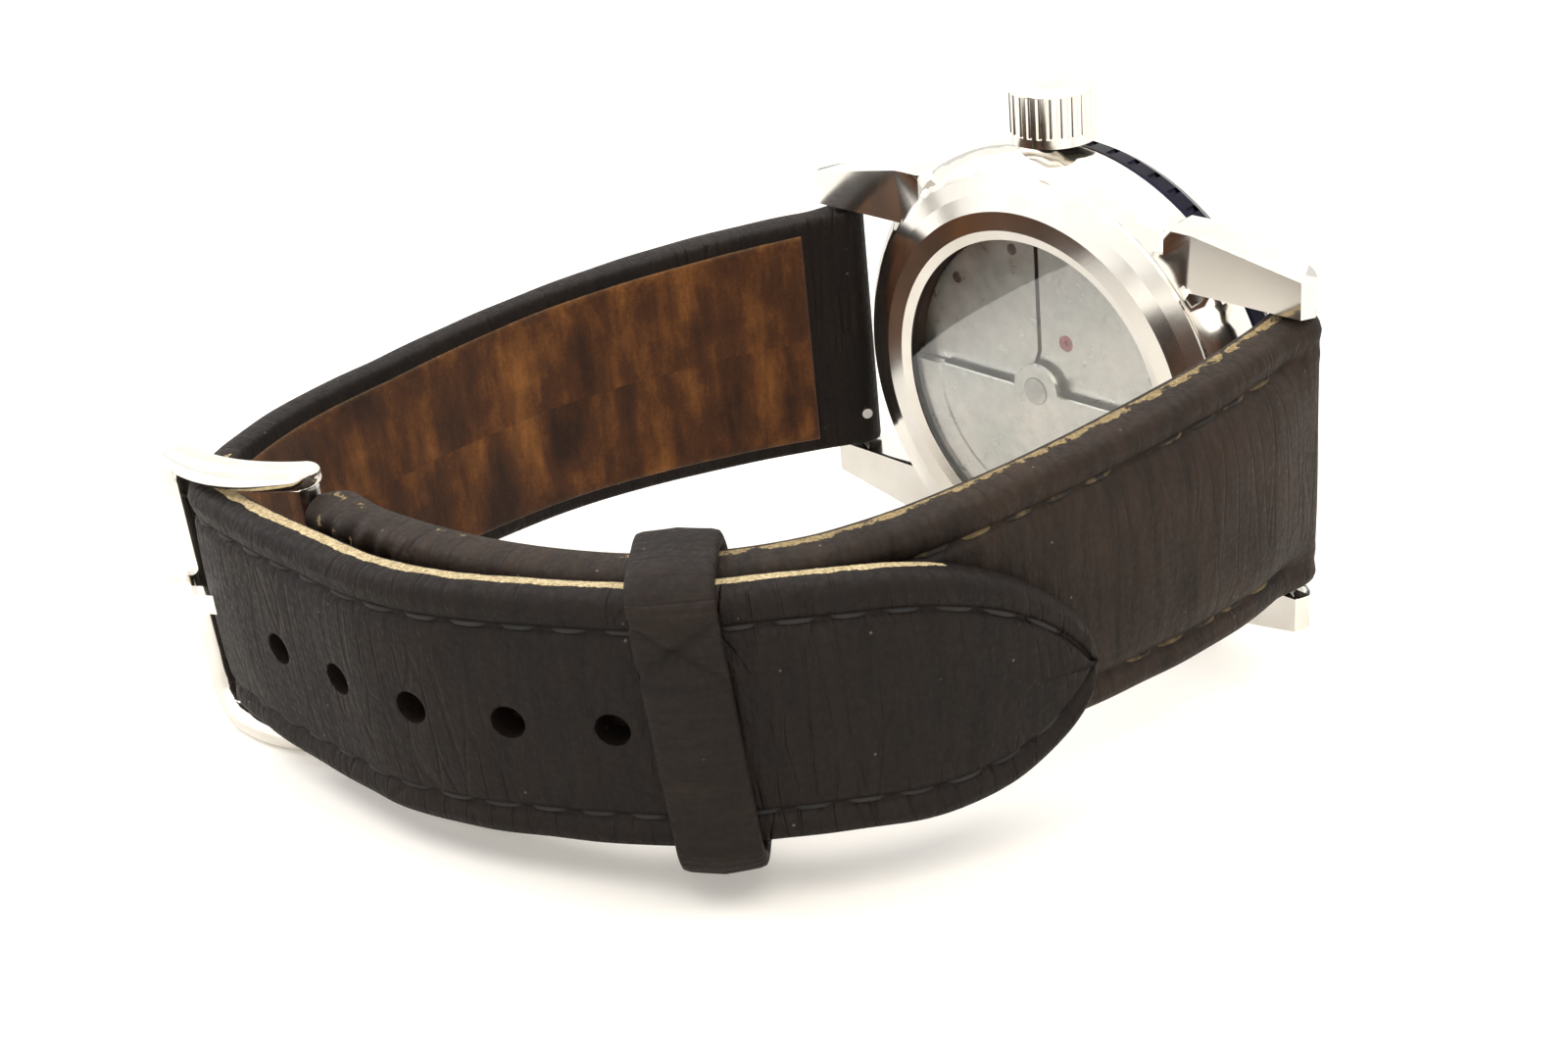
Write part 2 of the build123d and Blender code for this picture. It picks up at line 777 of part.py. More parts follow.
with BuildPart() as hour_wheel:
    toothed(hour_teeth, hour_module, centre_at, minute_direction, plate_top + 0.27, plate_top + 0.41)
    post(centre_at, 0.98, plate_top + 0.27, hour_hand_level)
    post(centre_at, 0.66 + running, plate_top, hour_hand_level + 0.1, Mode.SUBTRACT)
keep(hour_wheel, "hour_wheel")

with BuildPart() as dial:
    lathe((1.12, dial_level), (15.8, dial_level), (15.8, dial_top), (1.12, dial_top))
keep(dial, "dial")

marker_height = 0.13

with BuildPart() as hour_markers:
    with BuildSketch(level(dial_top)) as markers:
        with PolarLocations(12.6, 12):
            Rectangle(2.2, 0.7)
    extrude(markers.sketch, amount=-marker_height)
keep(hour_markers, "hour_markers")


def hand(length, width, tail, turn, height, eye, bore):
    """A leaf-shaped hand with a round eye, turned clockwise from 12 o'clock (+X)."""
    way = radians(-turn)
    knee = length * 0.55
    half = width / 2
    corners = [(-tail, 0), (0, -half), (knee, -half), (length, 0), (knee, half), (0, half)]
    outline = [(x * cos(way) - z * sin(way), x * sin(way) + z * cos(way)) for x, z in corners]
    slab(outline, height, height + hand_thickness)
    post(centre_at, eye, height, height + hand_thickness)
    post(centre_at, bore, height - 0.1, height + hand_thickness + 0.1, Mode.SUBTRACT)


with BuildPart() as hour_hand:
    hand(8.0, 1.3, 2.0, -304, hour_hand_level, 1.4, 0.75)
keep(hour_hand, "hour_hand")

with BuildPart() as minute_hand:
    hand(12.4, 1.0, 2.5, -60, minute_hand_level, 1.0, 0.5)
keep(minute_hand, "minute_hand")

with BuildPart() as second_hand:
    hand(12.8, 0.3, 3.5, -215, second_hand_level, 0.6, 0.24)
keep(second_hand, "second_hand")


# ---------------------------------------------------------------- strap route
def route(start, heading, arcs):
    """A run of tangent arcs: returns a function from length to (x, y, heading in degrees)."""
    legs = []
    x, y = start
    way = radians(heading)
    for length, turn in arcs:
        legs.append((x, y, way, length, radians(turn)))
        bend = length / radians(turn)
        x += bend * (sin(way + radians(turn)) - sin(way))
        y += bend * (cos(way) - cos(way + radians(turn)))
        way += radians(turn)

    def at(run):
        left = run
        for x0, y0, way0, length, turn in legs:
            if left <= length or (x0, y0, way0, length, turn) == legs[-1]:
                bend = length / turn
                now = way0 + turn * left / length
                x_now = x0 + bend * (sin(now) - sin(way0))
                y_now = y0 + bend * (cos(way0) - cos(now))
                return (x_now, y_now, degrees(now))
            left -= length
        return None

    return at


# Length in millimetres and turn in degrees of each arc of the pieces' middle lines.
short_arcs = [(5, -8), (8, -9.5), (9, -4), (12, -4.5), (8, -12), (14.5, -36), (12, -17.5), (12.7, -12.5)]
long_arcs = [(7, 7.5), (12, 12.5), (11.5, 11.5), (18, 11.5), (13, 27), (4.5, 36), (11, 14)]
short_at = route((bar_reach, bar_height), -77, short_arcs)
long_at = route((-bar_reach, bar_height), -125, long_arcs)
short_length = sum(length for length, turn in short_arcs)
keeper_arc_start = sum(length for length, turn in short_arcs[:5])
keeper_arc_length, keeper_arc_turn = short_arcs[5]
keeper_run = keeper_arc_start + keeper_arc_length / 2
keeper_bend = keeper_arc_length / radians(-keeper_arc_turn)


def aside(place, distance):
    """The point at a distance to the left of a place's heading."""
    x, y, heading = place
    return (x - distance * sin(radians(heading)), y + distance * cos(radians(heading)))


def eased(share):
    """A smooth step from 0 to 1."""
    share = min(max(share, 0.0), 1.0)
    return share * share * (3 - 2 * share)


def pad(run, thin):
    """Thickness at a distance from the lug bar: full near the lugs, thin towards the front."""
    swell = lug_end_thickness + (padded_thickness - lug_end_thickness) * eased(run / 7)
    return swell + (thin - swell) * eased((run - 12) / 20)


def short_pad(run):
    """The short piece's thickness, which swells again where it folds round the buckle bar."""
    return pad(run, short_thickness) + fold_swell * eased((run - short_length + 7) / 5)


def long_pad(run):
    """The long piece's thickness on its own route."""
    return pad(run, long_thickness)


def over_short(run):
    """Distance from the short piece's middle line to the long piece's inner face."""
    lift = stand_off_at_buckle * eased((run - keeper_arc_start - keeper_arc_length) / 12)
    return short_pad(run) / 2 + soft_gap + lift


# The outside of the loop is on the left of the short route and on the right of the long route.
lining_start = 3.4
short_full_runs = [short_length * step / 20 for step in range(21)]
short_lined_runs = [lining_start + (short_length - 2 * lining_start) * step / 17 for step in range(18)]
tip_run = keeper_run - 23.5
overlap_start = short_length - 9.5
long_own_span = 65.0
overlap_runs = [overlap_start + (tip_run - overlap_start) * step / 12 for step in range(13)]
long_full_runs = [long_own_span * step / 14 for step in range(15)]
long_lined_runs = [lining_start + (long_own_span - lining_start) * step / 13 for step in range(14)]


def short_line(runs, side, inset=0.0):
    """Points of the short piece along one face (side -1 inner, +1 outer), moved outwards by inset."""
    return [aside(short_at(run), side * short_pad(run) / 2 + inset) for run in runs]


def long_line(runs, side, inset=0.0):
    """Points of the long piece along one face: its own route first, then over the short piece."""
    own = [aside(long_at(run), -side * long_pad(run) / 2 - inset) for run in runs]
    depth = (side + 1) / 2 * long_thickness + inset
    return own + [aside(short_at(run), over_short(run) + depth) for run in overlap_runs]


def round_end(place, half, side, ahead):
    """Inner side, far point and outer side of a strap's rounded end; ahead is -1 at the start."""
    x, y, heading = place
    far = (x + ahead * half * cos(radians(heading)), y + ahead * half * sin(radians(heading)))
    return aside(place, -side * half), far, aside(place, side * half)


# Half-widths follow the distance from the lugs along Y.
width_outline = [
    (12, strap_half_at_lugs),
    (bar_height, strap_half_at_lugs),
    (-38, strap_half_at_buckle),
    (-80, strap_half_at_buckle),
    (-80, -strap_half_at_buckle),
    (-38, -strap_half_at_buckle),
    (bar_height, -strap_half_at_lugs),
    (12, -strap_half_at_lugs),
]


def cut_to_width(side_face):
    """Extrude a strap layer's side face and trim it to the strap's tapering width."""
    extrude(side_face, amount=24)
    with BuildSketch(Plane.YZ) as front:
        with BuildLine():
            Polyline(*width_outline, close=True)
        make_face()
    extrude(front.sketch, amount=60, both=True, mode=Mode.INTERSECT)


def inner_way(place, side):
    """Heading from a strap's middle line towards the inside of the loop, in degrees."""
    return place[2] - side * 90


release_level = -7.6
release_pin = 0.45


def release_plane(side):
    """A plane on a lug bar that faces the inside of the loop; local X runs along the bar."""
    place = short_at(0) if side > 0 else long_at(0)
    way = radians(inner_way(place, side))
    return Plane(origin=(side * bar_reach, bar_height, 0), x_dir=(0, 0, 1), z_dir=(cos(way), sin(way), 0))


def lug_bore(side):
    """The tunnel for the lug bar, and the slot for its quick-release knob on the inner side."""
    bar_along_z(side * bar_reach, bar_height, bar_radius + soft_gap, -14, 14, Mode.SUBTRACT)
    with BuildSketch(release_plane(side)) as slot:
        with Locations((release_level + release_travel / 2, 0)):
            Rectangle(release_travel + 2 * release_pin + 2 * soft_gap, 2 * release_pin + 2 * soft_gap)
    extrude(slot.sketch, amount=4, mode=Mode.SUBTRACT)


hole_zero_run = short_length + 10.6
tip_length = 17.0


def square_to(run, depth):
    """A plane on the overlap whose local X follows the short route and local Z points outwards."""
    place = short_at(run)
    x, y = aside(place, depth)
    way = radians(place[2])
    return Plane(origin=(x, y, 0), x_dir=(cos(way), sin(way), 0), z_dir=(-sin(way), cos(way), 0))


def long_holes():
    """Round holes through the long piece, one pitch apart, ahead of the one in use."""
    for number in range(2, hole_count):
        with BuildSketch(square_to(hole_zero_run - number * hole_pitch, 0)) as hole:
            Circle(hole_radius)
        extrude(hole.sketch, amount=12, mode=Mode.SUBTRACT)


def pointed_end():
    """Trim the long piece's end to a pointed arch."""
    half = strap_half_at_buckle
    with BuildSketch(square_to(tip_run + tip_length, -1)) as waste:
        with BuildLine():
            Line((0, half), (0, half + 2))
            Line((0, half + 2), (-tip_length - 4, half + 2))
            Line((-tip_length - 4, half + 2), (-tip_length - 4, -half - 2))
            Line((-tip_length - 4, -half - 2), (0, -half - 2))
            Line((0, -half - 2), (0, -half))
            ThreePointArc((0, -half), (-tip_length * 0.62, -half * 0.60), (-tip_length + 0.9, -0.8))
            ThreePointArc((-tip_length + 0.9, -0.8), (-tip_length + 0.4, 0), (-tip_length + 0.9, 0.8))
            ThreePointArc((-tip_length + 0.9, 0.8), (-tip_length * 0.62, half * 0.60), (0, half))
        make_face()
    extrude(waste.sketch, amount=16, mode=Mode.SUBTRACT)


# ---------------------------------------------------------------- buckle
buckle_bar_at = short_at(short_length)[:2]
dee_run = 62.2
dee_station = long_at(dee_run)
dee_at = aside(dee_station, -(long_thickness / 2 + soft_gap + dee_radius))
frame_run = (dee_at[0] - buckle_bar_at[0], dee_at[1] - buckle_bar_at[1])
frame_span = hypot(*frame_run)
frame_way = degrees(atan2(frame_run[1], frame_run[0]))
frame_plane = Plane(
    origin=(buckle_bar_at[0], buckle_bar_at[1], 0),
    x_dir=(cos(radians(frame_way)), sin(radians(frame_way)), 0),
    z_dir=(0, 0, 1),
)
arm_inner_half = strap_half_at_buckle + soft_gap
arm_outer_half = arm_inner_half + buckle_wall
arm_bow = 1.7
arm_half = 0.9

with BuildPart() as buckle_frame:
    with BuildSketch(frame_plane.offset(-arm_outer_half)) as arm_side:
        with BuildLine():
            ThreePointArc(
                (-1.2, -arm_half),
                (frame_span * 0.5, arm_bow - arm_half),
                (frame_span + dee_radius, 0.3 - arm_half),
            )
            Line((frame_span + dee_radius, 0.3 - arm_half), (frame_span + dee_radius, arm_half))
            ThreePointArc(
                (frame_span + dee_radius, arm_half),
                (frame_span * 0.5, arm_bow + arm_half),
                (-1.2, arm_half),
            )
            Line((-1.2, arm_half), (-1.2, -arm_half))
        make_face()
    extrude(arm_side.sketch, amount=2 * arm_outer_half)
    window_plane = Plane(origin=frame_plane.origin, x_dir=frame_plane.x_dir, z_dir=frame_plane.y_dir)
    with BuildSketch(window_plane.offset(-5)) as window:
        with Locations((-5, 0)):
            Rectangle(frame_span + 5 - dee_radius, 2 * arm_inner_half, align=(Align.MIN, Align.CENTER))
    extrude(window.sketch, amount=12, mode=Mode.SUBTRACT)
    bar_along_z(*buckle_bar_at, 0.5 + running, -arm_outer_half - 1, arm_outer_half + 1, Mode.SUBTRACT)
keep(buckle_frame, "buckle_frame")

with BuildPart() as buckle_bar:
    bar_along_z(*buckle_bar_at, buckle_bar_radius, 0.1 - arm_inner_half, arm_inner_half - 0.1)
    bar_along_z(*buckle_bar_at, 0.5, 0.4 - arm_outer_half, arm_outer_half - 0.4)
keep(buckle_bar, "buckle_bar")

arm_foot = 1.2
arm_run = frame_span + arm_foot + dee_radius
dee_rise = arm_half + 8 * arm_bow * dee_radius * (frame_span + arm_foot - dee_radius) / arm_run**2
tongue_knee = (frame_span - dee_radius, dee_rise + 2 * seat_gap)
tongue_tip = (frame_span + dee_radius + 0.4, arm_half + seat_gap)
tongue_eye = buckle_bar_radius + running + 0.85

with BuildPart() as buckle_tongue:
    with BuildSketch(frame_plane.offset(-tongue_width / 2)) as tongue_side:
        Circle(tongue_eye)
        with BuildLine():
            Polyline(
                (0, -tongue_thickness / 2),
                tongue_knee,
                tongue_tip,
                (tongue_tip[0], tongue_tip[1] + tongue_thickness / 2),
                (tongue_knee[0], tongue_knee[1] + tongue_thickness),
                (0, tongue_thickness),
                close=True,
            )
        make_face()
        Circle(buckle_bar_radius + running, mode=Mode.SUBTRACT)
    extrude(tongue_side.sketch, amount=tongue_width)
keep(buckle_tongue, "buckle_tongue")


def tongue_way():
    """Clear the long piece round the tongue, over the tongue's and the frame's lift."""
    lift = frame_span * radians(frame_lift_degrees + tongue_lift_degrees)
    with BuildSketch(frame_plane.offset(-tongue_width / 2 - soft_gap)) as room:
        with BuildLine():
            Polyline(
                (tongue_eye + 1, -tongue_thickness / 2 - soft_gap),
                (tongue_knee[0], tongue_knee[1] - soft_gap),
                (tongue_knee[0], tongue_knee[1] + tongue_thickness + soft_gap + lift),
                (tongue_eye + 1, tongue_thickness + soft_gap + lift / 4),
                close=True,
            )
        make_face()
    extrude(room.sketch, amount=tongue_width + 2 * soft_gap, mode=Mode.SUBTRACT)


# ---------------------------------------------------------------- strap pieces
with BuildPart() as strap_short_top:
    lug_round = round_end(short_at(0), short_pad(0) / 2, 1, -1)
    fold_round = round_end(short_at(short_length), short_pad(short_length) / 2, 1, 1)
    with BuildSketch(Plane.XY.offset(-12)) as short_side:
        with BuildLine():
            outer = short_line(short_full_runs, 1)
            under = short_line(short_lined_runs, -1, lining_thickness)
            inner = short_line(short_lined_runs, -1)
            Spline(*outer)
            ThreePointArc(outer[-1], fold_round[1], fold_round[0])
            Line(fold_round[0], inner[-1])
            Line(inner[-1], under[-1])
            Spline(*under[::-1])
            Line(under[0], inner[0])
            Line(inner[0], lug_round[0])
            ThreePointArc(lug_round[0], lug_round[1], outer[0])
        make_face()
    cut_to_width(short_side.sketch)
    lug_bore(1)
    bar_along_z(*buckle_bar_at, buckle_bar_radius + soft_gap, -14, 14, Mode.SUBTRACT)
    with BuildSketch(frame_plane.offset(-tongue_width / 2 - soft_gap)) as tongue_room:
        with Locations((0, 0)):
            Rectangle(2 * (tongue_eye + soft_gap + 0.4), 8)
    extrude(tongue_room.sketch, amount=tongue_width + 2 * soft_gap, mode=Mode.SUBTRACT)
keep(strap_short_top, "strap_short_top")

with BuildPart() as strap_short_lining:
    with BuildSketch(Plane.XY.offset(-12)) as short_lining_side:
        with BuildLine():
            above = short_line(short_lined_runs, -1, lining_thickness - glue_line)
            below = short_line(short_lined_runs, -1)
            Spline(*above)
            Line(above[-1], below[-1])
            Spline(*below[::-1])
            Line(below[0], above[0])
        make_face()
    cut_to_width(short_lining_side.sketch)
    lug_bore(1)
keep(strap_short_lining, "strap_short_lining")

with BuildPart() as strap_long_top:
    long_round = round_end(long_at(0), long_pad(0) / 2, -1, -1)
    with BuildSketch(Plane.XY.offset(-12)) as long_side:
        with BuildLine():
            outer = long_line(long_full_runs, 1)
            under = long_line(long_lined_runs, -1, lining_thickness)
            inner = long_line(long_lined_runs, -1)
            Spline(*outer)
            Line(outer[-1], under[-1])
            Spline(*under[::-1])
            Line(under[0], inner[0])
            Line(inner[0], long_round[0])
            ThreePointArc(long_round[0], long_round[1], outer[0])
        make_face()
    cut_to_width(long_side.sketch)
    lug_bore(-1)
    long_holes()
    pointed_end()
    tongue_way()
keep(strap_long_top, "strap_long_top")

with BuildPart() as strap_long_lining:
    with BuildSketch(Plane.XY.offset(-12)) as long_lining_side:
        with BuildLine():
            above = long_line(long_lined_runs, -1, lining_thickness - glue_line)
            below = long_line(long_lined_runs, -1)
            Spline(*above)
            Line(above[-1], below[-1])
            Spline(*below[::-1])
            Line(below[0], above[0])
        make_face()
    cut_to_width(long_lining_side.sketch)
    lug_bore(-1)
    long_holes()
    pointed_end()
    tongue_way()
keep(strap_long_lining, "strap_long_lining")

# ---------------------------------------------------------------- keeper
keeper_place = short_at(keeper_arc_start)
keeper_centre = aside(keeper_place, -keeper_bend)
keeper_inner = keeper_bend - short_thickness / 2 - soft_gap
keeper_outer = keeper_bend + short_thickness / 2 + soft_gap + long_thickness + soft_gap
keeper_half = strap_half_at_buckle + soft_gap
keeper_sweep = degrees(keeper_width / keeper_bend)
keeper_way = radians(keeper_place[2] + 90 + keeper_arc_turn / 2 - keeper_sweep / 2)

with BuildPart() as keeper:
    keeper_section = Plane(
        origin=(keeper_centre[0], keeper_centre[1], 0),
        x_dir=(cos(keeper_way), sin(keeper_way), 0),
        z_dir=(sin(keeper_way), -cos(keeper_way), 0),
    )
    with BuildSketch(keeper_section) as band:
        with Locations(((keeper_inner + keeper_outer) / 2, 0)):
            RectangleRounded(
                keeper_outer - keeper_inner + 2 * keeper_wall,
                2 * (keeper_half + keeper_wall),
                0.9,
            )
            Rectangle(keeper_outer - keeper_inner, 2 * keeper_half, mode=Mode.SUBTRACT)
    revolve(
        band.sketch,
        axis=Axis((keeper_centre[0], keeper_centre[1], 0), (0, 0, 1)),
        revolution_arc=keeper_sweep,
    )
keep(keeper, "keeper")


# ---------------------------------------------------------------- lug bars and quick releases
def lug_bar(side):
    """A lug bar: a tube with one fixed tip, bored and slotted for the sliding tip."""
    bar_along_z(
        side * bar_reach,
        bar_height,
        bar_radius,
        0.3 - strap_half_at_lugs,
        strap_half_at_lugs - 0.3,
    )
    bar_along_z(side * bar_reach, bar_height, bar_tip_radius, 0, 12.3)
    bar_along_z(side * bar_reach, bar_height, bar_tip_radius + running, -12, -3.9, Mode.SUBTRACT)
    with BuildSketch(release_plane(side)) as slot:
        with Locations((release_level + release_travel / 2, 0)):
            Rectangle(release_travel + 2 * release_pin + 2 * running, 2 * release_pin + 2 * running)
    extrude(slot.sketch, amount=2, mode=Mode.SUBTRACT)


def quick_release(side):
    """The sliding tip of a lug bar and the knob that draws it back."""
    bar_along_z(side * bar_reach, bar_height, bar_tip_radius, -12.3, release_level + 1)
    with BuildSketch(release_plane(side)) as knob:
        with Locations((release_level, 0)):
            Circle(release_pin)
    extrude(knob.sketch, amount=lug_end_thickness / 2 + 0.4)


with BuildPart() as lug_bar_12:
    lug_bar(1)
keep(lug_bar_12, "lug_bar_12")

with BuildPart() as lug_bar_6:
    lug_bar(-1)
keep(lug_bar_6, "lug_bar_6")

with BuildPart() as quick_release_12:
    quick_release(1)
keep(quick_release_12, "quick_release_12")

with BuildPart() as quick_release_6:
    quick_release(-1)
keep(quick_release_6, "quick_release_6")

# ---------------------------------------------------------------- laying the watch down
# The case's flank and the lowest of the keeper and the buckle rest on the ground together.
keeper_y = keeper_centre[1] + keeper_outer * sin(keeper_way)
lean_on_keeper = atan2(case_radius - keeper_half - keeper_wall, case_belly_height - keeper_y)
lean_on_buckle = atan2(case_radius - arm_outer_half, case_belly_height - dee_at[1])
lean = degrees(min(lean_on_keeper, lean_on_buckle))

whole = Compound(children=[piece.part.rotate(Axis.X, lean) for piece in finished])
box = whole.bounding_box()
resting = Location((-box.center().X, -box.center().Y, -box.min.Z)) * Location((0, 0, 0), (lean, 0, 0))

for piece in finished:
    name = piece.part.label
    piece.part = piece.part.moved(resting)
    piece.part.label = name
    export_step(piece.part, f"parts/{name}.step")

print("pieces", len(finished), "lean", round(lean, 2), "box", box.size)
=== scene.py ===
# %% [markdown]
# # A wristwatch on a worn leather strap
# The watch lies on its side, buckled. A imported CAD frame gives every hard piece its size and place.
# This lesson adds what the eye looks for: padded leather with stitches, a polished buckle, steel,
# glass, and a soft white studio. First the frame is loaded, and its box is kept for the last check.

# %% Load the frame
import json
import math
import random

import bmesh
import bpy
from mathutils import Matrix, Vector


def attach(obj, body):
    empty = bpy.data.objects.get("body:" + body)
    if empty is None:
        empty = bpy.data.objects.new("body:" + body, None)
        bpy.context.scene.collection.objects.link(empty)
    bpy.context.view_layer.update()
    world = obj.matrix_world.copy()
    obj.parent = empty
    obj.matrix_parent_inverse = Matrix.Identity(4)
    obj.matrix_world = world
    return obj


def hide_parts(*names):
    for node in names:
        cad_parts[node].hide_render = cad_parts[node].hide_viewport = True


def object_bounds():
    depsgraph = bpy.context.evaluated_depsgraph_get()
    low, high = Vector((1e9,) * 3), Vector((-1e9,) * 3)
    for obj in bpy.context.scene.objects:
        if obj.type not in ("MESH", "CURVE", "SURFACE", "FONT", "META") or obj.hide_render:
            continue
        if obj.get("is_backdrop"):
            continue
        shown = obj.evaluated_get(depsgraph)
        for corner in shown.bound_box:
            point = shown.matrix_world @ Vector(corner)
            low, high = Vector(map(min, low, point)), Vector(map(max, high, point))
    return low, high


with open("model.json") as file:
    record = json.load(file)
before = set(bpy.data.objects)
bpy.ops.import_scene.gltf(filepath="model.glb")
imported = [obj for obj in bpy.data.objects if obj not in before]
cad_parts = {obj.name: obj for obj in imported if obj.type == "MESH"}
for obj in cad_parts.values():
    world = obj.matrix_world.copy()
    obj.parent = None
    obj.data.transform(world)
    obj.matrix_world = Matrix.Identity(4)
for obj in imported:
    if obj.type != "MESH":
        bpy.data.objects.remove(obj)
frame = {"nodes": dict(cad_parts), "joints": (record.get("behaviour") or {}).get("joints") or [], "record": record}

cad_low, cad_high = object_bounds()
nodes = frame["nodes"]
joints = {joint["name"]: joint for joint in frame["joints"]}
mounts = {mount["name"]: mount for mount in frame["record"]["mounts"]}
print("frame:", len(nodes), "nodes, size in mm", [round(v * 1000, 1) for v in cad_high - cad_low])

# %% [markdown]
# The watch leans a little, because its case and its keeper both touch the ground. It is easier to
# think in the case's own directions: X to the 12 o'clock lugs, Y out through the dial and Z to the
# crown, in millimetres from the centre of the caseback. The frame's joints give these directions.

# %% The case's own directions
MM = 0.001
along_lugs = Vector((1, 0, 0))
to_dial = Vector(joints["bezel_turn"]["axis"])
to_crown = Vector(joints["crown_pull"]["axis"])
face_ring_radius = 14.15
case_origin = Vector(mounts["caseback_face"]["pos_m"]) + to_crown * face_ring_radius * MM


def watch(x, y, z):
    """A point given in the case's own millimetres, as metres in the frame."""
    return case_origin + (along_lugs * x + to_dial * y + to_crown * z) * MM


print("case centre in mm", [round(v * 1000, 2) for v in case_origin])

# %% [markdown]
# The camera stands low on the caseback side, towards 12 o'clock, and looks down through the loop.
# It is placed by its turn round the watch, its height angle and its distance, which is how a
# photographer would set a tripod.

# %% Camera
camera_turn = math.radians(48.9)
camera_height = math.radians(27.2)
camera_roll = math.radians(-6.1)
camera_distance = 164.3
camera_aside = (-19.0, -9.9)
camera_lens = 48.2

flat_share = math.cos(camera_height)
away = Vector((
    math.sin(camera_turn) * flat_share, -math.cos(camera_turn) * flat_share, math.sin(camera_height)))
right = Vector((math.cos(camera_turn), math.sin(camera_turn), 0))
above = away.cross(right)
rolled_right = right * math.cos(camera_roll) + above * math.sin(camera_roll)
rolled_above = above * math.cos(camera_roll) - right * math.sin(camera_roll)
spot = rolled_right * camera_aside[0] + rolled_above * camera_aside[1] + away * camera_distance


def direction(v):
    """A direction in the case's own axes, turned into the frame."""
    return (along_lugs * v.x + to_dial * v.y + to_crown * v.z).normalized()


camera = bpy.data.objects.new("camera", bpy.data.cameras.new("camera"))
bpy.context.scene.collection.objects.link(camera)
facing = Matrix((direction(rolled_right), direction(rolled_above), direction(away))).transposed()
camera.matrix_world = Matrix.Translation(watch(*spot)) @ facing.to_4x4()
camera.data.lens = camera_lens
camera.data.clip_start = 0.005
bpy.context.scene.camera = camera
print("camera at", [round(v, 3) for v in camera.location])

# %% [markdown]
# Every finish below is a small net of shader nodes. Two helpers keep them readable: one turns a hex
# colour into the linear values that a shader wants, and one adds a node with its settings and links.

# %% Material helpers
def colour(hex_code):
    """An sRGB hex value as a linear RGBA colour."""
    values = [int(hex_code[i:i + 2], 16) / 255 for i in (1, 3, 5)]
    return tuple(v / 12.92 if v <= 0.04045 else ((v + 0.055) / 1.055) ** 2.4 for v in values) + (1,)


def add_node(tree, kind, settings=None, **inputs):
    """Add a node, set its properties, and fill its inputs with values or with other nodes' outputs."""
    new = tree.nodes.new(kind)
    for key, value in (settings or {}).items():
        setattr(new, key, value)
    for key, value in inputs.items():
        name = key.replace("_", " ")
        socket = new.inputs[int(key[1:])] if key[0] == "i" and key[1:].isdigit() else new.inputs[name]
        if isinstance(value, bpy.types.NodeSocket):
            tree.links.new(value, socket)
        else:
            socket.default_value = value
    return new


def new_material(name, **surface):
    """A material with one Principled shader; returns the material, its tree and the shader."""
    material = bpy.data.materials.new(name)
    material.use_nodes = True
    tree = material.node_tree
    tree.nodes.clear()
    output = tree.nodes.new("ShaderNodeOutputMaterial")
    shader = tree.nodes.new("ShaderNodeBsdfPrincipled")
    tree.links.new(shader.outputs[0], output.inputs[0])
    for key, value in surface.items():
        shader.inputs[key.replace("_", " ")].default_value = value
    return material, tree, shader


def ramp(tree, factor, stops):
    """A colour ramp from (position, hex colour) stops."""
    new = add_node(tree, "ShaderNodeValToRGB", Fac=factor)
    band = new.color_ramp
    while len(band.elements) < len(stops):
        band.elements.new(0.5)
    for element, (position, hex_code) in zip(band.elements, stops):
        element.position = position
        element.color = colour(hex_code)
    return new.outputs[0]


def per_mm(size_mm):
    """The texture scale that makes one pattern cell this many millimetres wide, on metre coordinates."""
    return 1000 / size_mm


def shade(tree, kind, settings=None, **inputs):
    """The same as add_node, for a node whose first output is all that is wanted."""
    return add_node(tree, kind, settings, **inputs).outputs[0]


def scaled_sum(tree, value, factor, rest=0.0):
    """value times factor, plus the rest."""
    return shade(tree, "ShaderNodeMath", {"operation": "MULTIPLY_ADD"}, i0=value, i1=factor, i2=rest)


def noise(tree, place, size_mm, detail, roughness=0.5):
    """Soft noise with cells of a size in millimetres."""
    return shade(
        tree, "ShaderNodeTexNoise", Vector=place, Scale=per_mm(size_mm), Detail=detail, Roughness=roughness)


def mapped(tree, value, low, high, low_out, high_out):
    """A value's range from low to high, mapped to another range and clamped."""
    return shade(tree, "ShaderNodeMapRange", Value=value, i1=low, i2=high, i3=low_out, i4=high_out)


def bump(tree, height, strength, depth, before=None):
    """A bump of a depth in metres, laid over an earlier one."""
    more = {} if before is None else {"Normal": before}
    return shade(tree, "ShaderNodeBump", Strength=strength, Distance=depth, Height=height, **more)


def mixed_colour(tree, factor, first, second):
    """A mix of two colours, as node outputs."""
    new = add_node(tree, "ShaderNodeMix", {"data_type": "RGBA"}, Factor=factor)
    tree.links.new(first, new.inputs[6])
    tree.links.new(second, new.inputs[7])
    return new.outputs[2]


def object_place(tree):
    """The piece's own coordinates, in metres."""
    return add_node(tree, "ShaderNodeTexCoord").outputs["Object"]


print("material helpers ready; one cell of 1 mm needs a texture scale of", per_mm(1))

# %% [markdown]
# ## Leather
# The strap is padded calf leather, dyed black and waxed. It is years old: the wax has gone matt, fine
# wrinkles run across it, dust sits in the grain, and the raw tan leather shows where edges have worn.
# The grain is a Voronoi pattern of 0.42 mm cells, and the wrinkles are noise that is squeezed along
# the strap, so they need the strap's own UV map, with U along it and V round it, both in metres.

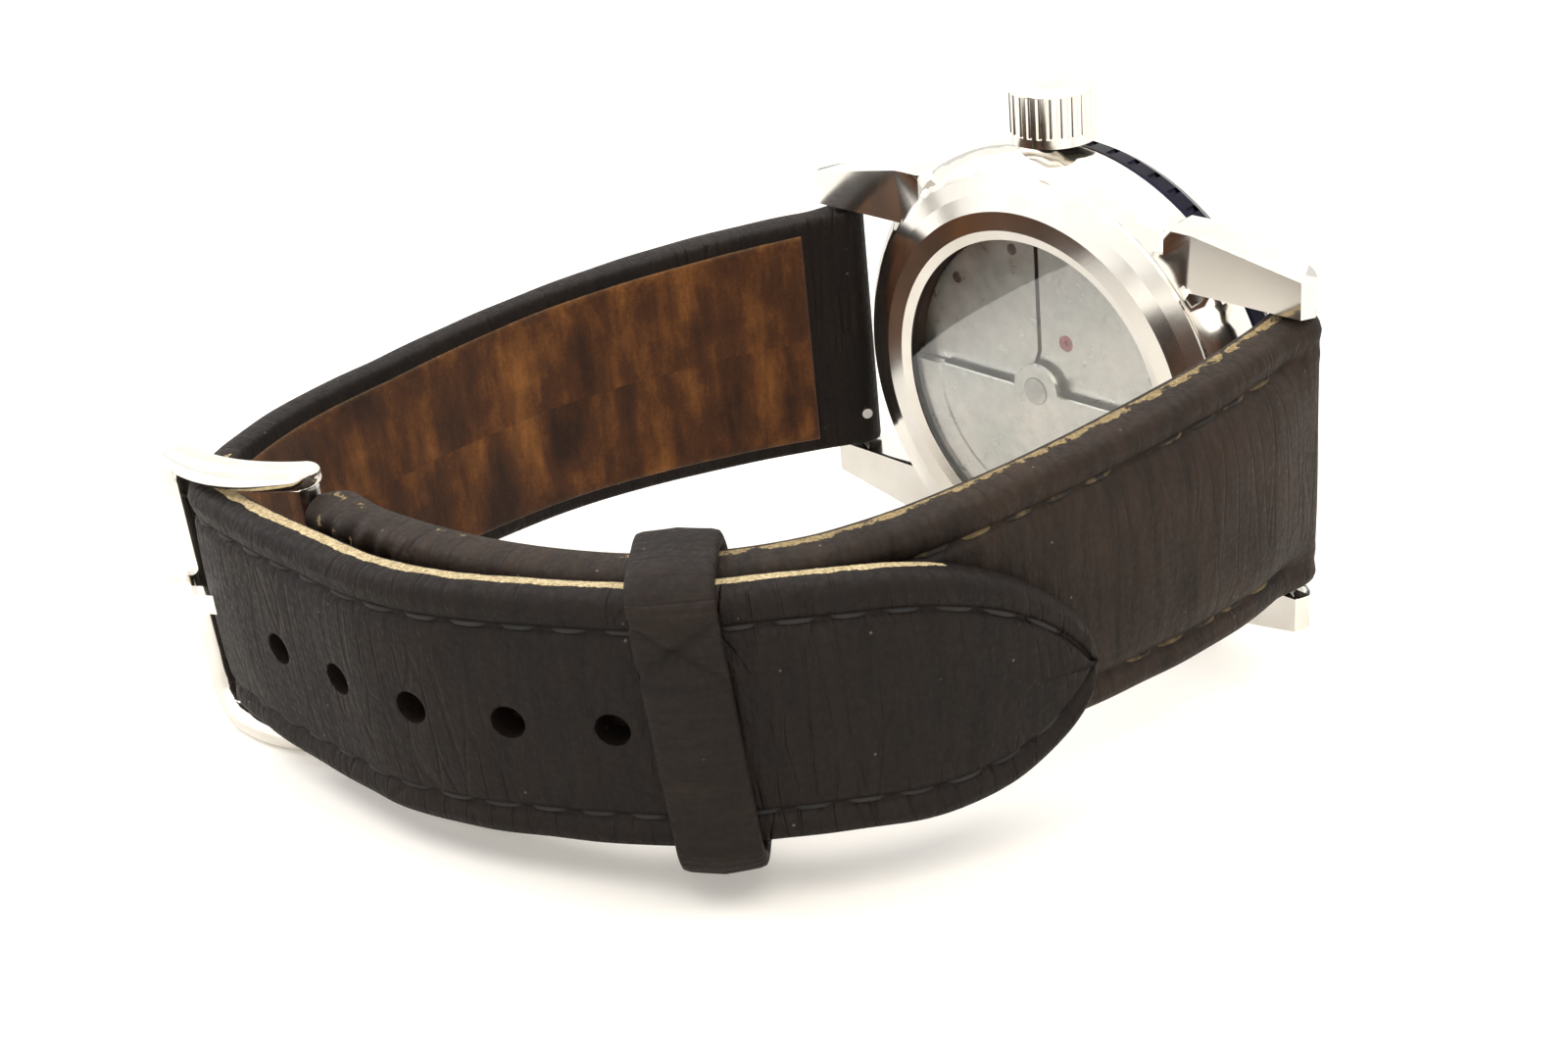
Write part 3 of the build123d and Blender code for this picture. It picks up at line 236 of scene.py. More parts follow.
# %% Strap leather
def strap_leather(name, dark, light, raw_dark, raw_light, edge_wear, wrinkle_depth):
    """Worn black leather; the piece's UV map runs along and across it, and 'worn' marks its edges."""
    material, tree, shader = new_material(name, Roughness=0.62)
    shader.inputs["Specular IOR Level"].default_value = 0.18
    place = object_place(tree)
    surface = shade(tree, "ShaderNodeUVMap", {"uv_map": "strap"})
    grain = add_node(
        tree, "ShaderNodeTexVoronoi", {"feature": "SMOOTH_F1"},
        Vector=place, Scale=per_mm(0.42), Smoothness=0.5).outputs["Distance"]
    pores = noise(tree, place, 0.22, 3.0, 0.6)
    squeezed = shade(tree, "ShaderNodeMapping", Vector=surface, Scale=(1.0, 0.12, 1.0))
    wrinkles = noise(tree, squeezed, 1.1, 4.0, 0.65)
    cloud = noise(tree, place, 9, 3.0, 0.55)
    cracks = add_node(
        tree, "ShaderNodeTexVoronoi", {"feature": "DISTANCE_TO_EDGE"},
        Vector=squeezed, Scale=per_mm(1.6)).outputs["Distance"]
    open_crack = mapped(tree, cracks, 0.0, 0.07, 0.0, 1.0)
    patches = mapped(tree, cloud, 0.45, 0.6, 1.0, 0.0)
    crack_height = shade(tree, "ShaderNodeMath", {"operation": "MAXIMUM"}, i0=open_crack, i1=patches)
    both = scaled_sum(tree, cloud, 0.45, scaled_sum(tree, wrinkles, 0.55))
    base = ramp(tree, both, [(0.34, dark), (0.62, light)])
    # Dust and lint: pale specks about a fifth of a millimetre across, in four of ten 1.5 mm cells.
    dust = add_node(tree, "ShaderNodeTexVoronoi", Vector=place, Scale=per_mm(1.5), Randomness=1.0)
    speck = ramp(tree, dust.outputs["Distance"], [(0.045, "#ffffff"), (0.075, "#000000")])
    cell_number = shade(tree, "ShaderNodeSeparateColor", Color=dust.outputs["Color"])
    rare = shade(tree, "ShaderNodeMath", {"operation": "GREATER_THAN"}, i0=cell_number, i1=0.58)
    dusty = shade(tree, "ShaderNodeMath", {"operation": "MULTIPLY"}, i0=speck, i1=rare)
    faint = shade(tree, "ShaderNodeMath", {"operation": "MULTIPLY"}, i0=dusty, i1=0.3)
    with_dust = add_node(tree, "ShaderNodeMix", {"data_type": "RGBA"}, Factor=faint)
    tree.links.new(base, with_dust.inputs[6])
    with_dust.inputs[7].default_value = colour("#9b9184")
    # Worn edges: the 'worn' attribute is 1 on a rubbed edge, and noise breaks it into flakes.
    worn = add_node(tree, "ShaderNodeAttribute", {"attribute_name": "worn"}).outputs["Fac"]
    mark = scaled_sum(tree, worn, edge_wear, noise(tree, place, 1.6, 6.0, 0.7))
    bare = ramp(tree, mark, [(0.97, "#000000"), (1.03, "#ffffff")])
    raw = ramp(tree, pores, [(0.35, raw_dark), (0.65, raw_light)])
    tree.links.new(mixed_colour(tree, bare, with_dust.outputs[2], raw), shader.inputs["Base Color"])
    matt = shade(tree, "ShaderNodeMapRange", Value=grain, i3=0.5, i4=0.72)
    tree.links.new(matt, shader.inputs["Roughness"])
    fine = bump(tree, pores, 0.35, 0.00006)
    cells = bump(tree, grain, 0.4, 0.00008, fine)
    creased = bump(tree, wrinkles, wrinkle_depth, 0.00022, cells)
    cracked = bump(tree, crack_height, wrinkle_depth, 0.00012, creased)
    tree.links.new(cracked, shader.inputs["Normal"])
    return material


leather_long = strap_leather(
    "waxed_calf_leather_long", "#070403", "#1b130e", "#94815d", "#d2c29c", 0.42, 1.0)
leather_short = strap_leather(
    "waxed_calf_leather_short", "#120c09", "#31261e", "#66573b", "#a08d66", 0.42, 0.6)
leather_keeper = strap_leather(
    "waxed_calf_leather_keeper", "#0a0604", "#1e1611", "#5d4f36", "#95835f", 0.30, 0.4)
for leather in (leather_long, leather_short, leather_keeper):
    print(leather.name, len(leather.node_tree.nodes), "shader nodes")

# %% [markdown]
# The lining is undyed split leather that years of wear have stained. Its brown is blotchy, with darker
# bands across it and a soft nap, so it has almost no gloss.

# %% Lining leather and raw edges
def lining_leather(name, stops, raw_stops):
    """Stained lining leather; 'worn' shows the raw fibre of its cut edge."""
    material, tree, shader = new_material(name, Roughness=0.9)
    shader.inputs["Specular IOR Level"].default_value = 0.15
    shader.inputs["Sheen Weight"].default_value = 0.15
    place = object_place(tree)
    surface = shade(tree, "ShaderNodeUVMap", {"uv_map": "strap"})
    across = shade(tree, "ShaderNodeMapping", Vector=surface, Scale=(1.0, 0.25, 1.0))
    bands = noise(tree, across, 3.2, 5.0, 0.62)
    blotch = noise(tree, place, 8, 4.0, 0.6)
    nap = noise(tree, place, 0.3, 4.0, 0.7)
    stain = scaled_sum(tree, blotch, 0.35, scaled_sum(tree, bands, 0.55))
    stained = ramp(tree, scaled_sum(tree, nap, 0.12, stain), stops)
    worn = add_node(tree, "ShaderNodeAttribute", {"attribute_name": "worn"}).outputs["Fac"]
    raw = ramp(tree, nap, raw_stops)
    tree.links.new(mixed_colour(tree, worn, stained, raw), shader.inputs["Base Color"])
    tree.links.new(bump(tree, nap, 0.6, 0.0001), shader.inputs["Normal"])
    return material


brown_stops = [(0.40, "#2a180d"), (0.50, "#482a15"), (0.58, "#68401e"), (0.68, "#93602d")]
raw_edge_stops = [(0.3, "#8d7a5c"), (0.7, "#cbbb98")]
lining_long = lining_leather("stained_split_leather_long", brown_stops, raw_edge_stops)
lining_short = lining_leather("stained_split_leather_short", brown_stops, raw_edge_stops)
print("lining leathers:", lining_long.name, "and", lining_short.name)

# %% [markdown]
# ## Bending a flat strap
# A saddler makes a strap flat and the wrist bends it. The model is made the same way. A grid of faces
# is rolled into the strap's section, and each point is then carried along the strap's route. The route
# is the same run of tangent arcs that the frame's plain strap follows, so both lie in one place.

# %% The strap's route
def route(start, heading, arcs):
    """A run of tangent arcs: returns a function from length to (x, y, heading), in millimetres."""
    legs = []
    x, y = start
    way = math.radians(heading)
    for length, turn in arcs:
        legs.append((x, y, way, length, math.radians(turn)))
        bend = length / math.radians(turn)
        x += bend * (math.sin(way + math.radians(turn)) - math.sin(way))
        y += bend * (math.cos(way) - math.cos(way + math.radians(turn)))
        way += math.radians(turn)

    def at(run):
        left = run
        for leg in legs:
            x0, y0, way0, length, turn = leg
            if left <= length or leg == legs[-1]:
                bend = length / turn
                now = way0 + turn * left / length
                x_now = x0 + bend * (math.sin(now) - math.sin(way0))
                return x_now, y0 + bend * (math.cos(way0) - math.cos(now)), now
            left -= length
        return None

    return at


bar_reach = 22.1
bar_height = 3.4
short_arcs = [(5, -8), (8, -9.5), (9, -4), (12, -4.5), (8, -12), (14.5, -36), (12, -17.5), (12.7, -12.5)]
long_arcs = [(7, 7.5), (12, 12.5), (11.5, 11.5), (18, 11.5), (13, 27), (4.5, 36), (11, 14)]
short_at = route((bar_reach, bar_height), -77, short_arcs)
long_own_at = route((-bar_reach, bar_height), -125, long_arcs)
short_length = sum(length for length, turn in short_arcs)
keeper_arc_start = sum(length for length, turn in short_arcs[:5])
keeper_arc_length = short_arcs[5][0]
keeper_run = keeper_arc_start + keeper_arc_length / 2

padded_thickness = 4.4
lug_end_thickness = 3.9
short_thickness = 3.2
long_thickness = 2.7
fold_swell = 0.9
soft_gap = 0.35
stand_off_at_buckle = 1.15
strap_half_at_lugs = 10.75
strap_half_at_buckle = 9.1


def eased(share):
    """A smooth step from 0 to 1."""
    share = min(max(share, 0.0), 1.0)
    return share * share * (3 - 2 * share)


def pad(run, thin):
    """Thickness at a distance from the lug bar: full near the lugs, thin towards the front."""
    swell = lug_end_thickness + (padded_thickness - lug_end_thickness) * eased(run / 7)
    return swell + (thin - swell) * eased((run - 12) / 20)


def short_pad(run):
    """The short piece's thickness, which swells again where it folds round the buckle bar."""
    return pad(run, short_thickness) + fold_swell * eased((run - short_length + 7) / 5)


def over_short(run):
    """Distance from the short piece's middle line to the long piece's inner face."""
    lift = stand_off_at_buckle * eased((run - keeper_arc_start - keeper_arc_length) / 12)
    return short_pad(run) / 2 + soft_gap + lift


# The long piece: stations on its own route, then stations that lie over the short piece.
tip_run = keeper_run - 23.5
overlap_start = short_length - 9.5
long_own_span = 65.0
long_stations = [long_own_at(long_own_span * step / 14)[:2] for step in range(15)]
for step in range(13):
    x, y, way = short_at(overlap_start + (tip_run - overlap_start) * step / 12)
    reach = over_short(overlap_start + (tip_run - overlap_start) * step / 12) + long_thickness / 2
    long_stations.append((x - reach * math.sin(way), y + reach * math.cos(way)))

station_runs = [0.0]
for (x0, y0), (x1, y1) in zip(long_stations, long_stations[1:]):
    station_runs.append(station_runs[-1] + math.hypot(x1 - x0, y1 - y0))
long_length = station_runs[-1]


def station_slope(i):
    """Rate of change of the long line at a station, from its two neighbours."""
    a = max(i - 1, 0)
    b = min(i + 1, len(long_stations) - 1)
    span = station_runs[b] - station_runs[a]
    return tuple((long_stations[b][k] - long_stations[a][k]) / span for k in (0, 1))


def long_at(run):
    """Place and heading on the long piece's middle line, smooth through its stations."""
    i = 0
    while i < len(station_runs) - 2 and run > station_runs[i + 1]:
        i += 1
    span = station_runs[i + 1] - station_runs[i]
    t = (run - station_runs[i]) / span
    before, after = station_slope(i), station_slope(i + 1)
    place, rate = [], []
    for k in (0, 1):
        p0, p1, m0, m1 = long_stations[i][k], long_stations[i + 1][k], before[k] * span, after[k] * span
        place.append(
            (2 * t**3 - 3 * t**2 + 1) * p0 + (t**3 - 2 * t**2 + t) * m0
            + (3 * t**2 - 2 * t**3) * p1 + (t**3 - t**2) * m1)
        rate.append(
            (6 * t**2 - 6 * t) * p0 + (3 * t**2 - 4 * t + 1) * m0
            + (6 * t - 6 * t**2) * p1 + (3 * t**2 - 2 * t) * m1)
    return place[0], place[1], math.atan2(rate[1], rate[0])


def short_point(run, depth, z):
    """Depth counts outwards from the short piece's middle line."""
    x, y, way = short_at(run)
    return watch(x - depth * math.sin(way), y + depth * math.cos(way), z)


tip_droop = 3.45
droop_start = 24
droop_span = 26


def long_point(run, depth, z):
    """Depth counts outwards from the long piece's middle line; its loose end hangs down a little."""
    x, y, way = long_at(run)
    z -= tip_droop * eased((run - long_length + droop_start) / droop_span)
    return watch(x + depth * math.sin(way), y - depth * math.cos(way), z)


def width_at(at, run):
    """Half the strap's width, which narrows with the distance from the lugs."""
    y = at(run)[1]
    share = min(max((bar_height - y) / (bar_height + 38), 0.0), 1.0)
    return strap_half_at_lugs + (strap_half_at_buckle - strap_half_at_lugs) * share


print("short piece", round(short_length, 1), "mm, long piece", round(long_length, 1), "mm")

# %% [markdown]
# `rolled` is the one maker for every long, bent piece here. It starts from a grid, rolls the grid's
# short way into a closed section, sends its long way along the piece, welds the seam and caps the
# ends. A `shape` function says where each point goes. The UV map keeps the distance along and round.

# %% The rolling helper
def link(bm, name, material):
    """Turn a finished bmesh into a smooth-shaded object with one material."""
    mesh = bpy.data.meshes.new(name)
    bm.to_mesh(mesh)
    bm.free()
    if material:
        mesh.materials.append(material)
    for polygon in mesh.polygons:
        polygon.use_smooth = True
    piece = bpy.data.objects.new(name, mesh)
    bpy.context.scene.collection.objects.link(piece)
    return piece


def rolled(name, material, rings, sides, shape, length_mm=1.0, round_mm=1.0, wear=None, closed=False):
    """shape(u, v) gives a point for u from 0 to 1 along the piece and v from 0 to 1 round it."""
    bm = bmesh.new()
    bmesh.ops.create_grid(bm, x_segments=rings, y_segments=sides, size=0.5)
    uv = bm.loops.layers.uv.new("strap")
    worn = bm.verts.layers.float.new("worn")
    for face in bm.faces:
        for loop in face.loops:
            along, about = loop.vert.co.x + 0.5, loop.vert.co.y + 0.5
            loop[uv].uv = (along * length_mm * MM, about * round_mm * MM)
    for vert in bm.verts:
        u, v = vert.co.x + 0.5, vert.co.y + 0.5
        if wear:
            vert[worn] = wear(u, v)
        vert.co = shape(u, v)
    bmesh.ops.remove_doubles(bm, verts=bm.verts, dist=0.000002)
    if not closed:
        bmesh.ops.holes_fill(bm, edges=[e for e in bm.edges if e.is_boundary], sides=0)
    bmesh.ops.recalc_face_normals(bm, faces=bm.faces)
    piece = link(bm, name, material)
    print(name, len(piece.data.vertices), "points")
    return piece


def folded(v):
    """The side of the section v is on, and the walk from the inside's middle (0) to the top (1)."""
    return (1, v * 2) if v < 0.5 else (-1, (1 - v) * 2)


def between(stops, walk):
    """The two values at a walk along a list of (walk, value, value) stops."""
    for (w0, a0, b0), (w1, a1, b1) in zip(stops, stops[1:]):
        if walk <= w1 + 1e-9:
            t = (walk - w0) / (w1 - w0)
            return a0 + (a1 - a0) * t, b0 + (b1 - b0) * t
    return stops[-1][1:]


def corner_walk(walk, legs, corner):
    """Place and heading after a walk along straight legs with quarter turns between them."""
    x, y, way = 0.0, 0.0, 0.0
    for number, leg in enumerate(legs):
        step = min(walk, leg)
        if number % 2:
            turn = step / corner
            x += corner * (math.sin(way + turn) - math.sin(way))
            y += corner * (math.cos(way) - math.cos(way + turn))
            way += turn
        else:
            x += step * math.cos(way)
            y += step * math.sin(way)
        walk -= step
        if walk <= 0:
            break
    return x, y, way


print("rolling helper ready; half way round the section is", folded(0.25))

# %% [markdown]
# The section of a padded strap is a soft dome between two stitched flanges. Walking round it from the
# middle of the inside: flat lining side, turned edge, flange, a groove that the thread has pulled in,
# and the pad's rise to its crown. Each entry is a distance in from the edge and a height.

# %% The strap's section
stitch_inset = 2.5


def strap_section(v, half, thick, flange, groove):
    """Across and height of the section at v; height counts from the inner face."""
    side, walk = folded(v)
    rise = thick - flange
    inset, up = between([
        (0.00, half, 0.0), (0.16, 1.3, 0.0), (0.22, 0.45, 0.03), (0.27, 0.10, 0.22),
        (0.32, 0.0, flange * 0.5), (0.37, 0.12, flange - 0.5), (0.42, 0.52, flange - 0.08),
        (0.48, 1.15, flange + 0.14), (0.55, stitch_inset - 0.45, flange - 0.03),
        (0.60, stitch_inset, flange - groove), (0.65, stitch_inset + 0.45, flange + 0.06),
        (0.71, 3.7, flange + 0.45 * rise), (0.78, 4.9, flange + 0.76 * rise),
        (0.86, 6.6, flange + 0.95 * rise), (1.0, half, thick),
    ], walk)
    return side * (half - min(inset, half)), up


def ripple(run, z, seed):
    """Small uneven swelling of old leather, in millimetres."""
    slow = math.sin(run * 0.31 + seed) * math.cos(z * 0.42 + seed * 2)
    quick = math.sin(run * 0.93 + seed * 3 + z * 0.25)
    return 0.05 * slow + 0.03 * quick


strap_sides = 84
strap_round = 4 * strap_half_at_lugs
groove_depth = 0.5
least_short_flange = 2.2
least_long_flange = 1.9
print("the groove is", groove_depth, "mm deep and", stitch_inset, "mm in from the edge")

# %% [markdown]
# ## The short piece
# It leaves the 12 o'clock lugs thick and padded, thins towards the wrist, and folds back round the
# buckle's bar. The padded body is one closed form. Its lining is laid on the inside as a second thin
# form, and the 'worn' attribute paints the seam of raw leather that shows between them on the edge.

# %% Short piece
def padding(run):
    """How much higher the pad is than the stitched flange, as a share of full padding."""
    return (0.95 * (1 - eased((run - 8) / 26)) + 0.25) * eased((run + 0.5) / 4.5)


def turned_end(share, span, reach):
    """Rounds a strap's end: 1 along the piece, falling to 0 at its very end."""
    left = min(max(share * span / reach, 0.0), 1.0)
    return math.sqrt(max(1 - (1 - left) ** 2, 0.0))


short_start = -1.4
short_end = short_length - 1.1
short_span = short_end - short_start
groove_end = 62
fold_run = short_length - 14


def short_shape(u, v):
    """A point of the short piece: its section, bent along its route and closed at both ends."""
    run = short_start + short_span * u
    half = width_at(short_at, run)
    thick = short_pad(run)
    closing = 0.12 + 0.88 * turned_end(u, short_span, 2.0) * turned_end(1 - u, short_span, 1.6)
    flange = max(thick - padding(run), least_short_flange)
    groove = groove_depth * eased((run - 1) / 3) * (1 - eased((run - groove_end) / 6))
    across, up = strap_section(v, half, thick, flange, groove)
    up += ripple(run, across, 0.7) * eased(up / 2)
    if run > fold_run and up > thick * 0.4:
        crumple = 0.3 * math.sin(run * 2.3) * math.cos(across * 1.1 + run)
        up += crumple * eased((run - fold_run) / 6)
    return short_point(run, (up - thick / 2) * closing, across)


def edge_wear(v, split, reach=0.034, corner=0.75):
    """How rubbed a point is: a little on each outer corner, and by `split` along the upper edge."""
    side, walk = folded(v)
    rubbed = corner * max(0.0, 1 - abs(walk - 0.40) / 0.05)
    opened = split * max(0.0, 1 - abs(walk - 0.295) / reach) if side > 0 else 0.0
    return max(rubbed, opened)


def short_wear(u, v):
    """The seam is open from the lugs to the keeper, and the fold round the bar is torn."""
    run = short_start + short_span * u
    seam = edge_wear(v, 1.9 * (1 - 0.35 * eased((run - 52) / 8)))
    return max(seam, 0.86 * eased((run - short_length + 11) / 5))


short_piece = rolled(
    "strap_short_leather", leather_short, 300, strap_sides, short_shape, short_span, strap_round, short_wear)
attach(short_piece, "watch_body")
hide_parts("strap_short_top", "strap_short_lining")

# %% [markdown]
# ## The linings
# Each lining is a sheet 0.55 mm thick, a little narrower than the strap and pressed 0.15 mm into its
# inner face. Both use one flat section with round edges, and a slow wave keeps them from looking new.

# %% Short lining
def flat_section(v, half, thick):
    """A thin sheet's closed section with round edges; v runs round it."""
    side, walk = folded(v)
    inset, up = between([
        (0.0, half, 0.0), (0.30, 1.0, 0.0), (0.42, 0.16, 0.03), (0.5, 0.0, 0.5),
        (0.58, 0.12, 0.97), (0.70, 1.0, 1.0), (1.0, half, 1.0),
    ], walk)
    return side * (half - inset), up * thick


lining_thickness = 0.55
short_lining_start = 5.5
short_lining_end = short_length - 12


def wave(run, across, height, along_rate, across_rate):
    """The sheet's slow wave, in millimetres, which fades out towards its edges."""
    return height * math.sin(run * along_rate + across * across_rate) * (1 - abs(across) / 11)


def short_lining_shape(u, v):
    """A point of the short lining, 0.16 mm into the strap's inner face."""
    run = short_lining_start + (short_lining_end - short_lining_start) * u
    across, up = flat_section(v, width_at(short_at, run) - 1.3, lining_thickness)
    depth = up - 0.16 - short_pad(run) / 2 + wave(run, across, 0.05, 0.8, 0.5)
    return short_point(run, depth, across)


def lining_wear(u, v):
    """The sheet's cut edge shows a little raw fibre."""
    return 0.25 * max(0.0, 1 - abs(folded(v)[1] - 0.5) / 0.1)


lining_sides = 44
short_lining = rolled(
    "strap_short_inside", lining_short, 220, lining_sides, short_lining_shape,
    short_length - 16, strap_round, lining_wear)
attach(short_lining, "watch_body")

# %% [markdown]
# ## The long piece
# The long piece runs down from the 6 o'clock lugs, under the wrist side, through the buckle, and then
# lies over the short piece and under the keeper. Its end is a pointed arch, and its lining follows it.

# %% Long piece
arch_length = 16.6
long_start = -1.4
long_span = long_length - long_start


def arch_half(left, half):
    """Half width near the tip: `left` is the distance still to go to the point."""
    if left >= arch_length:
        return half
    t = max(left, 0.0) / arch_length
    return half * math.sin(math.acos(min(max(1 - t, 0.0), 1.0))) ** 1.12


def long_thickness_at(run):
    """Full padding at the lugs, and one thickness from the buckle to the tip."""
    return pad(run, long_thickness)


def long_shape(u, v):
    """A point of the long piece: its section, bent along its route, with a thin pointed tip."""
    run = long_start + long_span * u
    left = long_length - run
    half = max(arch_half(left, width_at(long_at, run)), 0.02)
    thick = long_thickness_at(run)
    tip = math.sqrt(min(max(left, 0.0), 1.0))
    closing = (0.12 + 0.88 * turned_end(u, long_span, 2.0)) * (0.25 + 0.75 * tip)
    flange = max(thick - padding(run), least_long_flange)
    across, up = strap_section(v, half, thick, flange, groove_depth * eased((run - 1) / 3))
    up += ripple(run, across, 2.1) * eased(up / 2)
    return long_point(run, (up - thick / 2) * closing, across)


def long_wear(u, v):
    """The upper inner edge is rubbed only where it stands off the wrist, past the buckle."""
    run = long_start + long_span * u
    left = long_length - run
    rubbed = 2.6 * eased((run - 58) / 5) * (1 - 0.8 * eased((run - long_length + 14) / 6))
    return max(edge_wear(v, rubbed, 0.043), 0.7 * (1 - eased(left / 1.2)))


long_piece = rolled(
    "strap_long_leather", leather_long, 420, strap_sides, long_shape, long_span, strap_round, long_wear)
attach(long_piece, "watch_body")
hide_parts("strap_long_top", "strap_long_lining")

long_lining_start = 4.5
long_lining_end = long_length - 5.2


def long_lining_shape(u, v):
    """A point of the long lining, 0.14 mm into the strap's inner face."""
    run = long_lining_start + (long_lining_end - long_lining_start) * u
    half = max(arch_half(long_length - run - 1.2, width_at(long_at, run)) - 1.2, 0.3)
    across, up = flat_section(v, half, lining_thickness)
    depth = up - 0.14 - long_thickness_at(run) / 2 + wave(run, across, 0.04, 0.7, 0.4)
    return long_point(run, depth, across)


long_lining = rolled(
    "strap_long_inside", lining_long, 320, lining_sides, long_lining_shape,
    long_lining_end - long_lining_start, strap_round, lining_wear)
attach(long_lining, "watch_body")

# %% [markdown]
# ## Holes
# The holes stand 6.1 mm apart. The buckle hides the first two, so only the five past it are punched.
# Each cutter is a cylinder square to the strap, and a boolean gives the holes real walls.

# %% Punched holes
hole_pitch = 6.1
hole_radius = 1.15
hole_first = 91.8


def cutters_for(place, runs, radius, reach):
    """One mesh of cylinders that stand square to a strap at the given runs."""
    bm = bmesh.new()
    for run in runs:
        low, high = place(run, -reach, 0), place(run, reach, 0)
        turn = (high - low).to_track_quat("Z", "Y").to_matrix().to_4x4()
        bmesh.ops.create_cone(
            bm, cap_ends=True, segments=40, radius1=radius * MM, radius2=radius * MM,
            depth=(high - low).length, matrix=Matrix.Translation((low + high) / 2) @ turn)
    mesh = bpy.data.meshes.new("cutters")
    bm.to_mesh(mesh)
    bm.free()
    cutter = bpy.data.objects.new("cutters", mesh)
    bpy.context.scene.collection.objects.link(cutter)
    return cutter


def cut(piece, cutter):
    """Subtract the cutter from a piece and apply the result."""
    punch = piece.modifiers.new("punch", "BOOLEAN")
    punch.object = cutter
    punch.solver = "EXACT"
    with bpy.context.temp_override(object=piece, active_object=piece, selected_objects=[piece]):
        bpy.ops.object.modifier_apply(modifier=punch.name)


def lead_over(run, goal, short_run):
    """How far a point of the long line is ahead of the short line's normal at a run."""
    x, y, way = long_at(run)
    heading = short_at(short_run)[2]
    ahead = (x - goal[0]) * math.cos(heading) + (y - goal[1]) * math.sin(heading)
    sideways = -(x - goal[0]) * math.sin(heading) + (y - goal[1]) * math.cos(heading)
    return ahead if 0 < sideways < 12 and run > long_own_span - 5 else 1e6


def long_run_over(short_run):
    """The long piece's own run at a place over the short piece, found by walking its line."""
    goal = Vector(short_at(short_run)[:2])
    tries = (step * 0.1 for step in range(int(long_length * 10)))
    return min(tries, key=lambda run: abs(lead_over(run, goal, short_run)))


hole_runs = [long_run_over(hole_first - number * hole_pitch) for number in range(2, 7)]
for piece in (long_piece, long_lining):
    cutter = cutters_for(long_point, hole_runs, hole_radius, 4)
    cut(piece, cutter)
    bpy.data.objects.remove(cutter)
print("holes at", [round(run, 1) for run in hole_runs], "mm;", len(long_piece.data.polygons), "faces")

# %% [markdown]
# ## Thread
# The saddle stitch is waxed linen thread, about 0.5 mm thick and 3 mm a stitch, sunk in its groove.
# Each stitch is a short capsule that dips at both ends. Years of wear have pulled some of them out.

# %% Stitches
def linen_thread(name, roughness, size_mm, stops):
    """Linen thread whose colour wanders along it."""
    material, tree, shader = new_material(name, Roughness=roughness)
    tone = noise(tree, object_place(tree), size_mm, 3.0)
    tree.links.new(ramp(tree, tone, stops), shader.inputs["Base Color"])
    return material


thread = linen_thread("waxed_linen_thread", 0.75, 2.5, [(0.35, "#040303"), (0.7, "#1a1510")])
old_thread = linen_thread("frayed_linen_thread", 0.85, 1.5, [(0.45, "#17120d"), (0.62, "#66563a")])

stitch_length = 2.7
stitch_pitch = 3.3
thread_radius = 0.24
end_dip = 0.16


def stitch_row(name, material, place, starts, offset, kept=1.0, seed=1):
    """Capsules along a row; place(run) gives a point and kept is the share not pulled out."""
    rng = random.Random(seed)
    bm = bmesh.new()
    for start in starts:
        if rng.random() > kept:
            continue
        span = stitch_length * rng.uniform(0.85, 1.0)
        rings = []
        for step in range(7):
            share = step / 6
            centre = place(start + span * share, offset - end_dip * abs(2 * share - 1) ** 2)
            run = start + span * share
            ahead = (place(run + 0.1, offset) - place(run - 0.1, offset)).normalized()
            turn = ahead.to_track_quat("Z", "Y").to_matrix().to_4x4()
            thick = thread_radius * MM * (0.35 + 0.65 * math.sqrt(max(1 - abs(2 * share - 1) ** 4, 0)))
            made = bmesh.ops.create_circle(
                bm, cap_ends=step in (0, 6), segments=6, radius=thick,
                matrix=Matrix.Translation(centre) @ turn)
            rings.append([e for v in made["verts"] for e in v.link_edges if e.is_valid])
        for a, b in zip(rings, rings[1:]):
            bmesh.ops.bridge_loops(bm, edges=list({*a, *b}))
    bmesh.ops.recalc_face_normals(bm, faces=bm.faces)
    row = link(bm, name, material)
    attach(row, "watch_body")
    print(name, len(row.data.polygons), "faces")


def short_row(side):
    """A stitch row's line on the short piece's outer face."""
    def place(run, depth):
        flange = max(short_pad(run) - padding(run), least_short_flange)
        out = flange - groove_depth + depth - short_pad(run) / 2
        return short_point(run, out, side * (width_at(short_at, run) - stitch_inset))
    return place


def long_row(side):
    """A stitch row's line on the long piece's outer face, round the point of the arch."""
    def place(run, depth):
        half = arch_half(long_length - run, width_at(long_at, run))
        flange = max(long_thickness_at(run) - padding(run), least_long_flange)
        out = flange - groove_depth + depth - long_thickness_at(run) / 2
        return long_point(run, out, side * max(half - stitch_inset, 0.1))
    return place


def starts_from(first, last):
    """Where each stitch of a row begins."""
    return [first + step * stitch_pitch for step in range(int((last - first) / stitch_pitch))]


short_starts = starts_from(5, fold_run)
long_starts = starts_from(5, long_length - 1.2)
for side, label in ((1, "top"), (-1, "bottom")):
    stitch_row("stitches_short_" + label, old_thread, short_row(side), short_starts, 0.14, 0.8, 4 + side)
    stitch_row("stitches_long_" + label, thread, long_row(side), long_starts, 0.16, 0.96, 9 + side)

# %% [markdown]
# ## The keeper
# The keeper is a loop of leather with rounded shoulders. Its middle line goes round both straps as a
# rectangle with soft corners, and its own section is a flat band with round edges. Where a thumb has
# pinched it for years, two creases cross near its top.

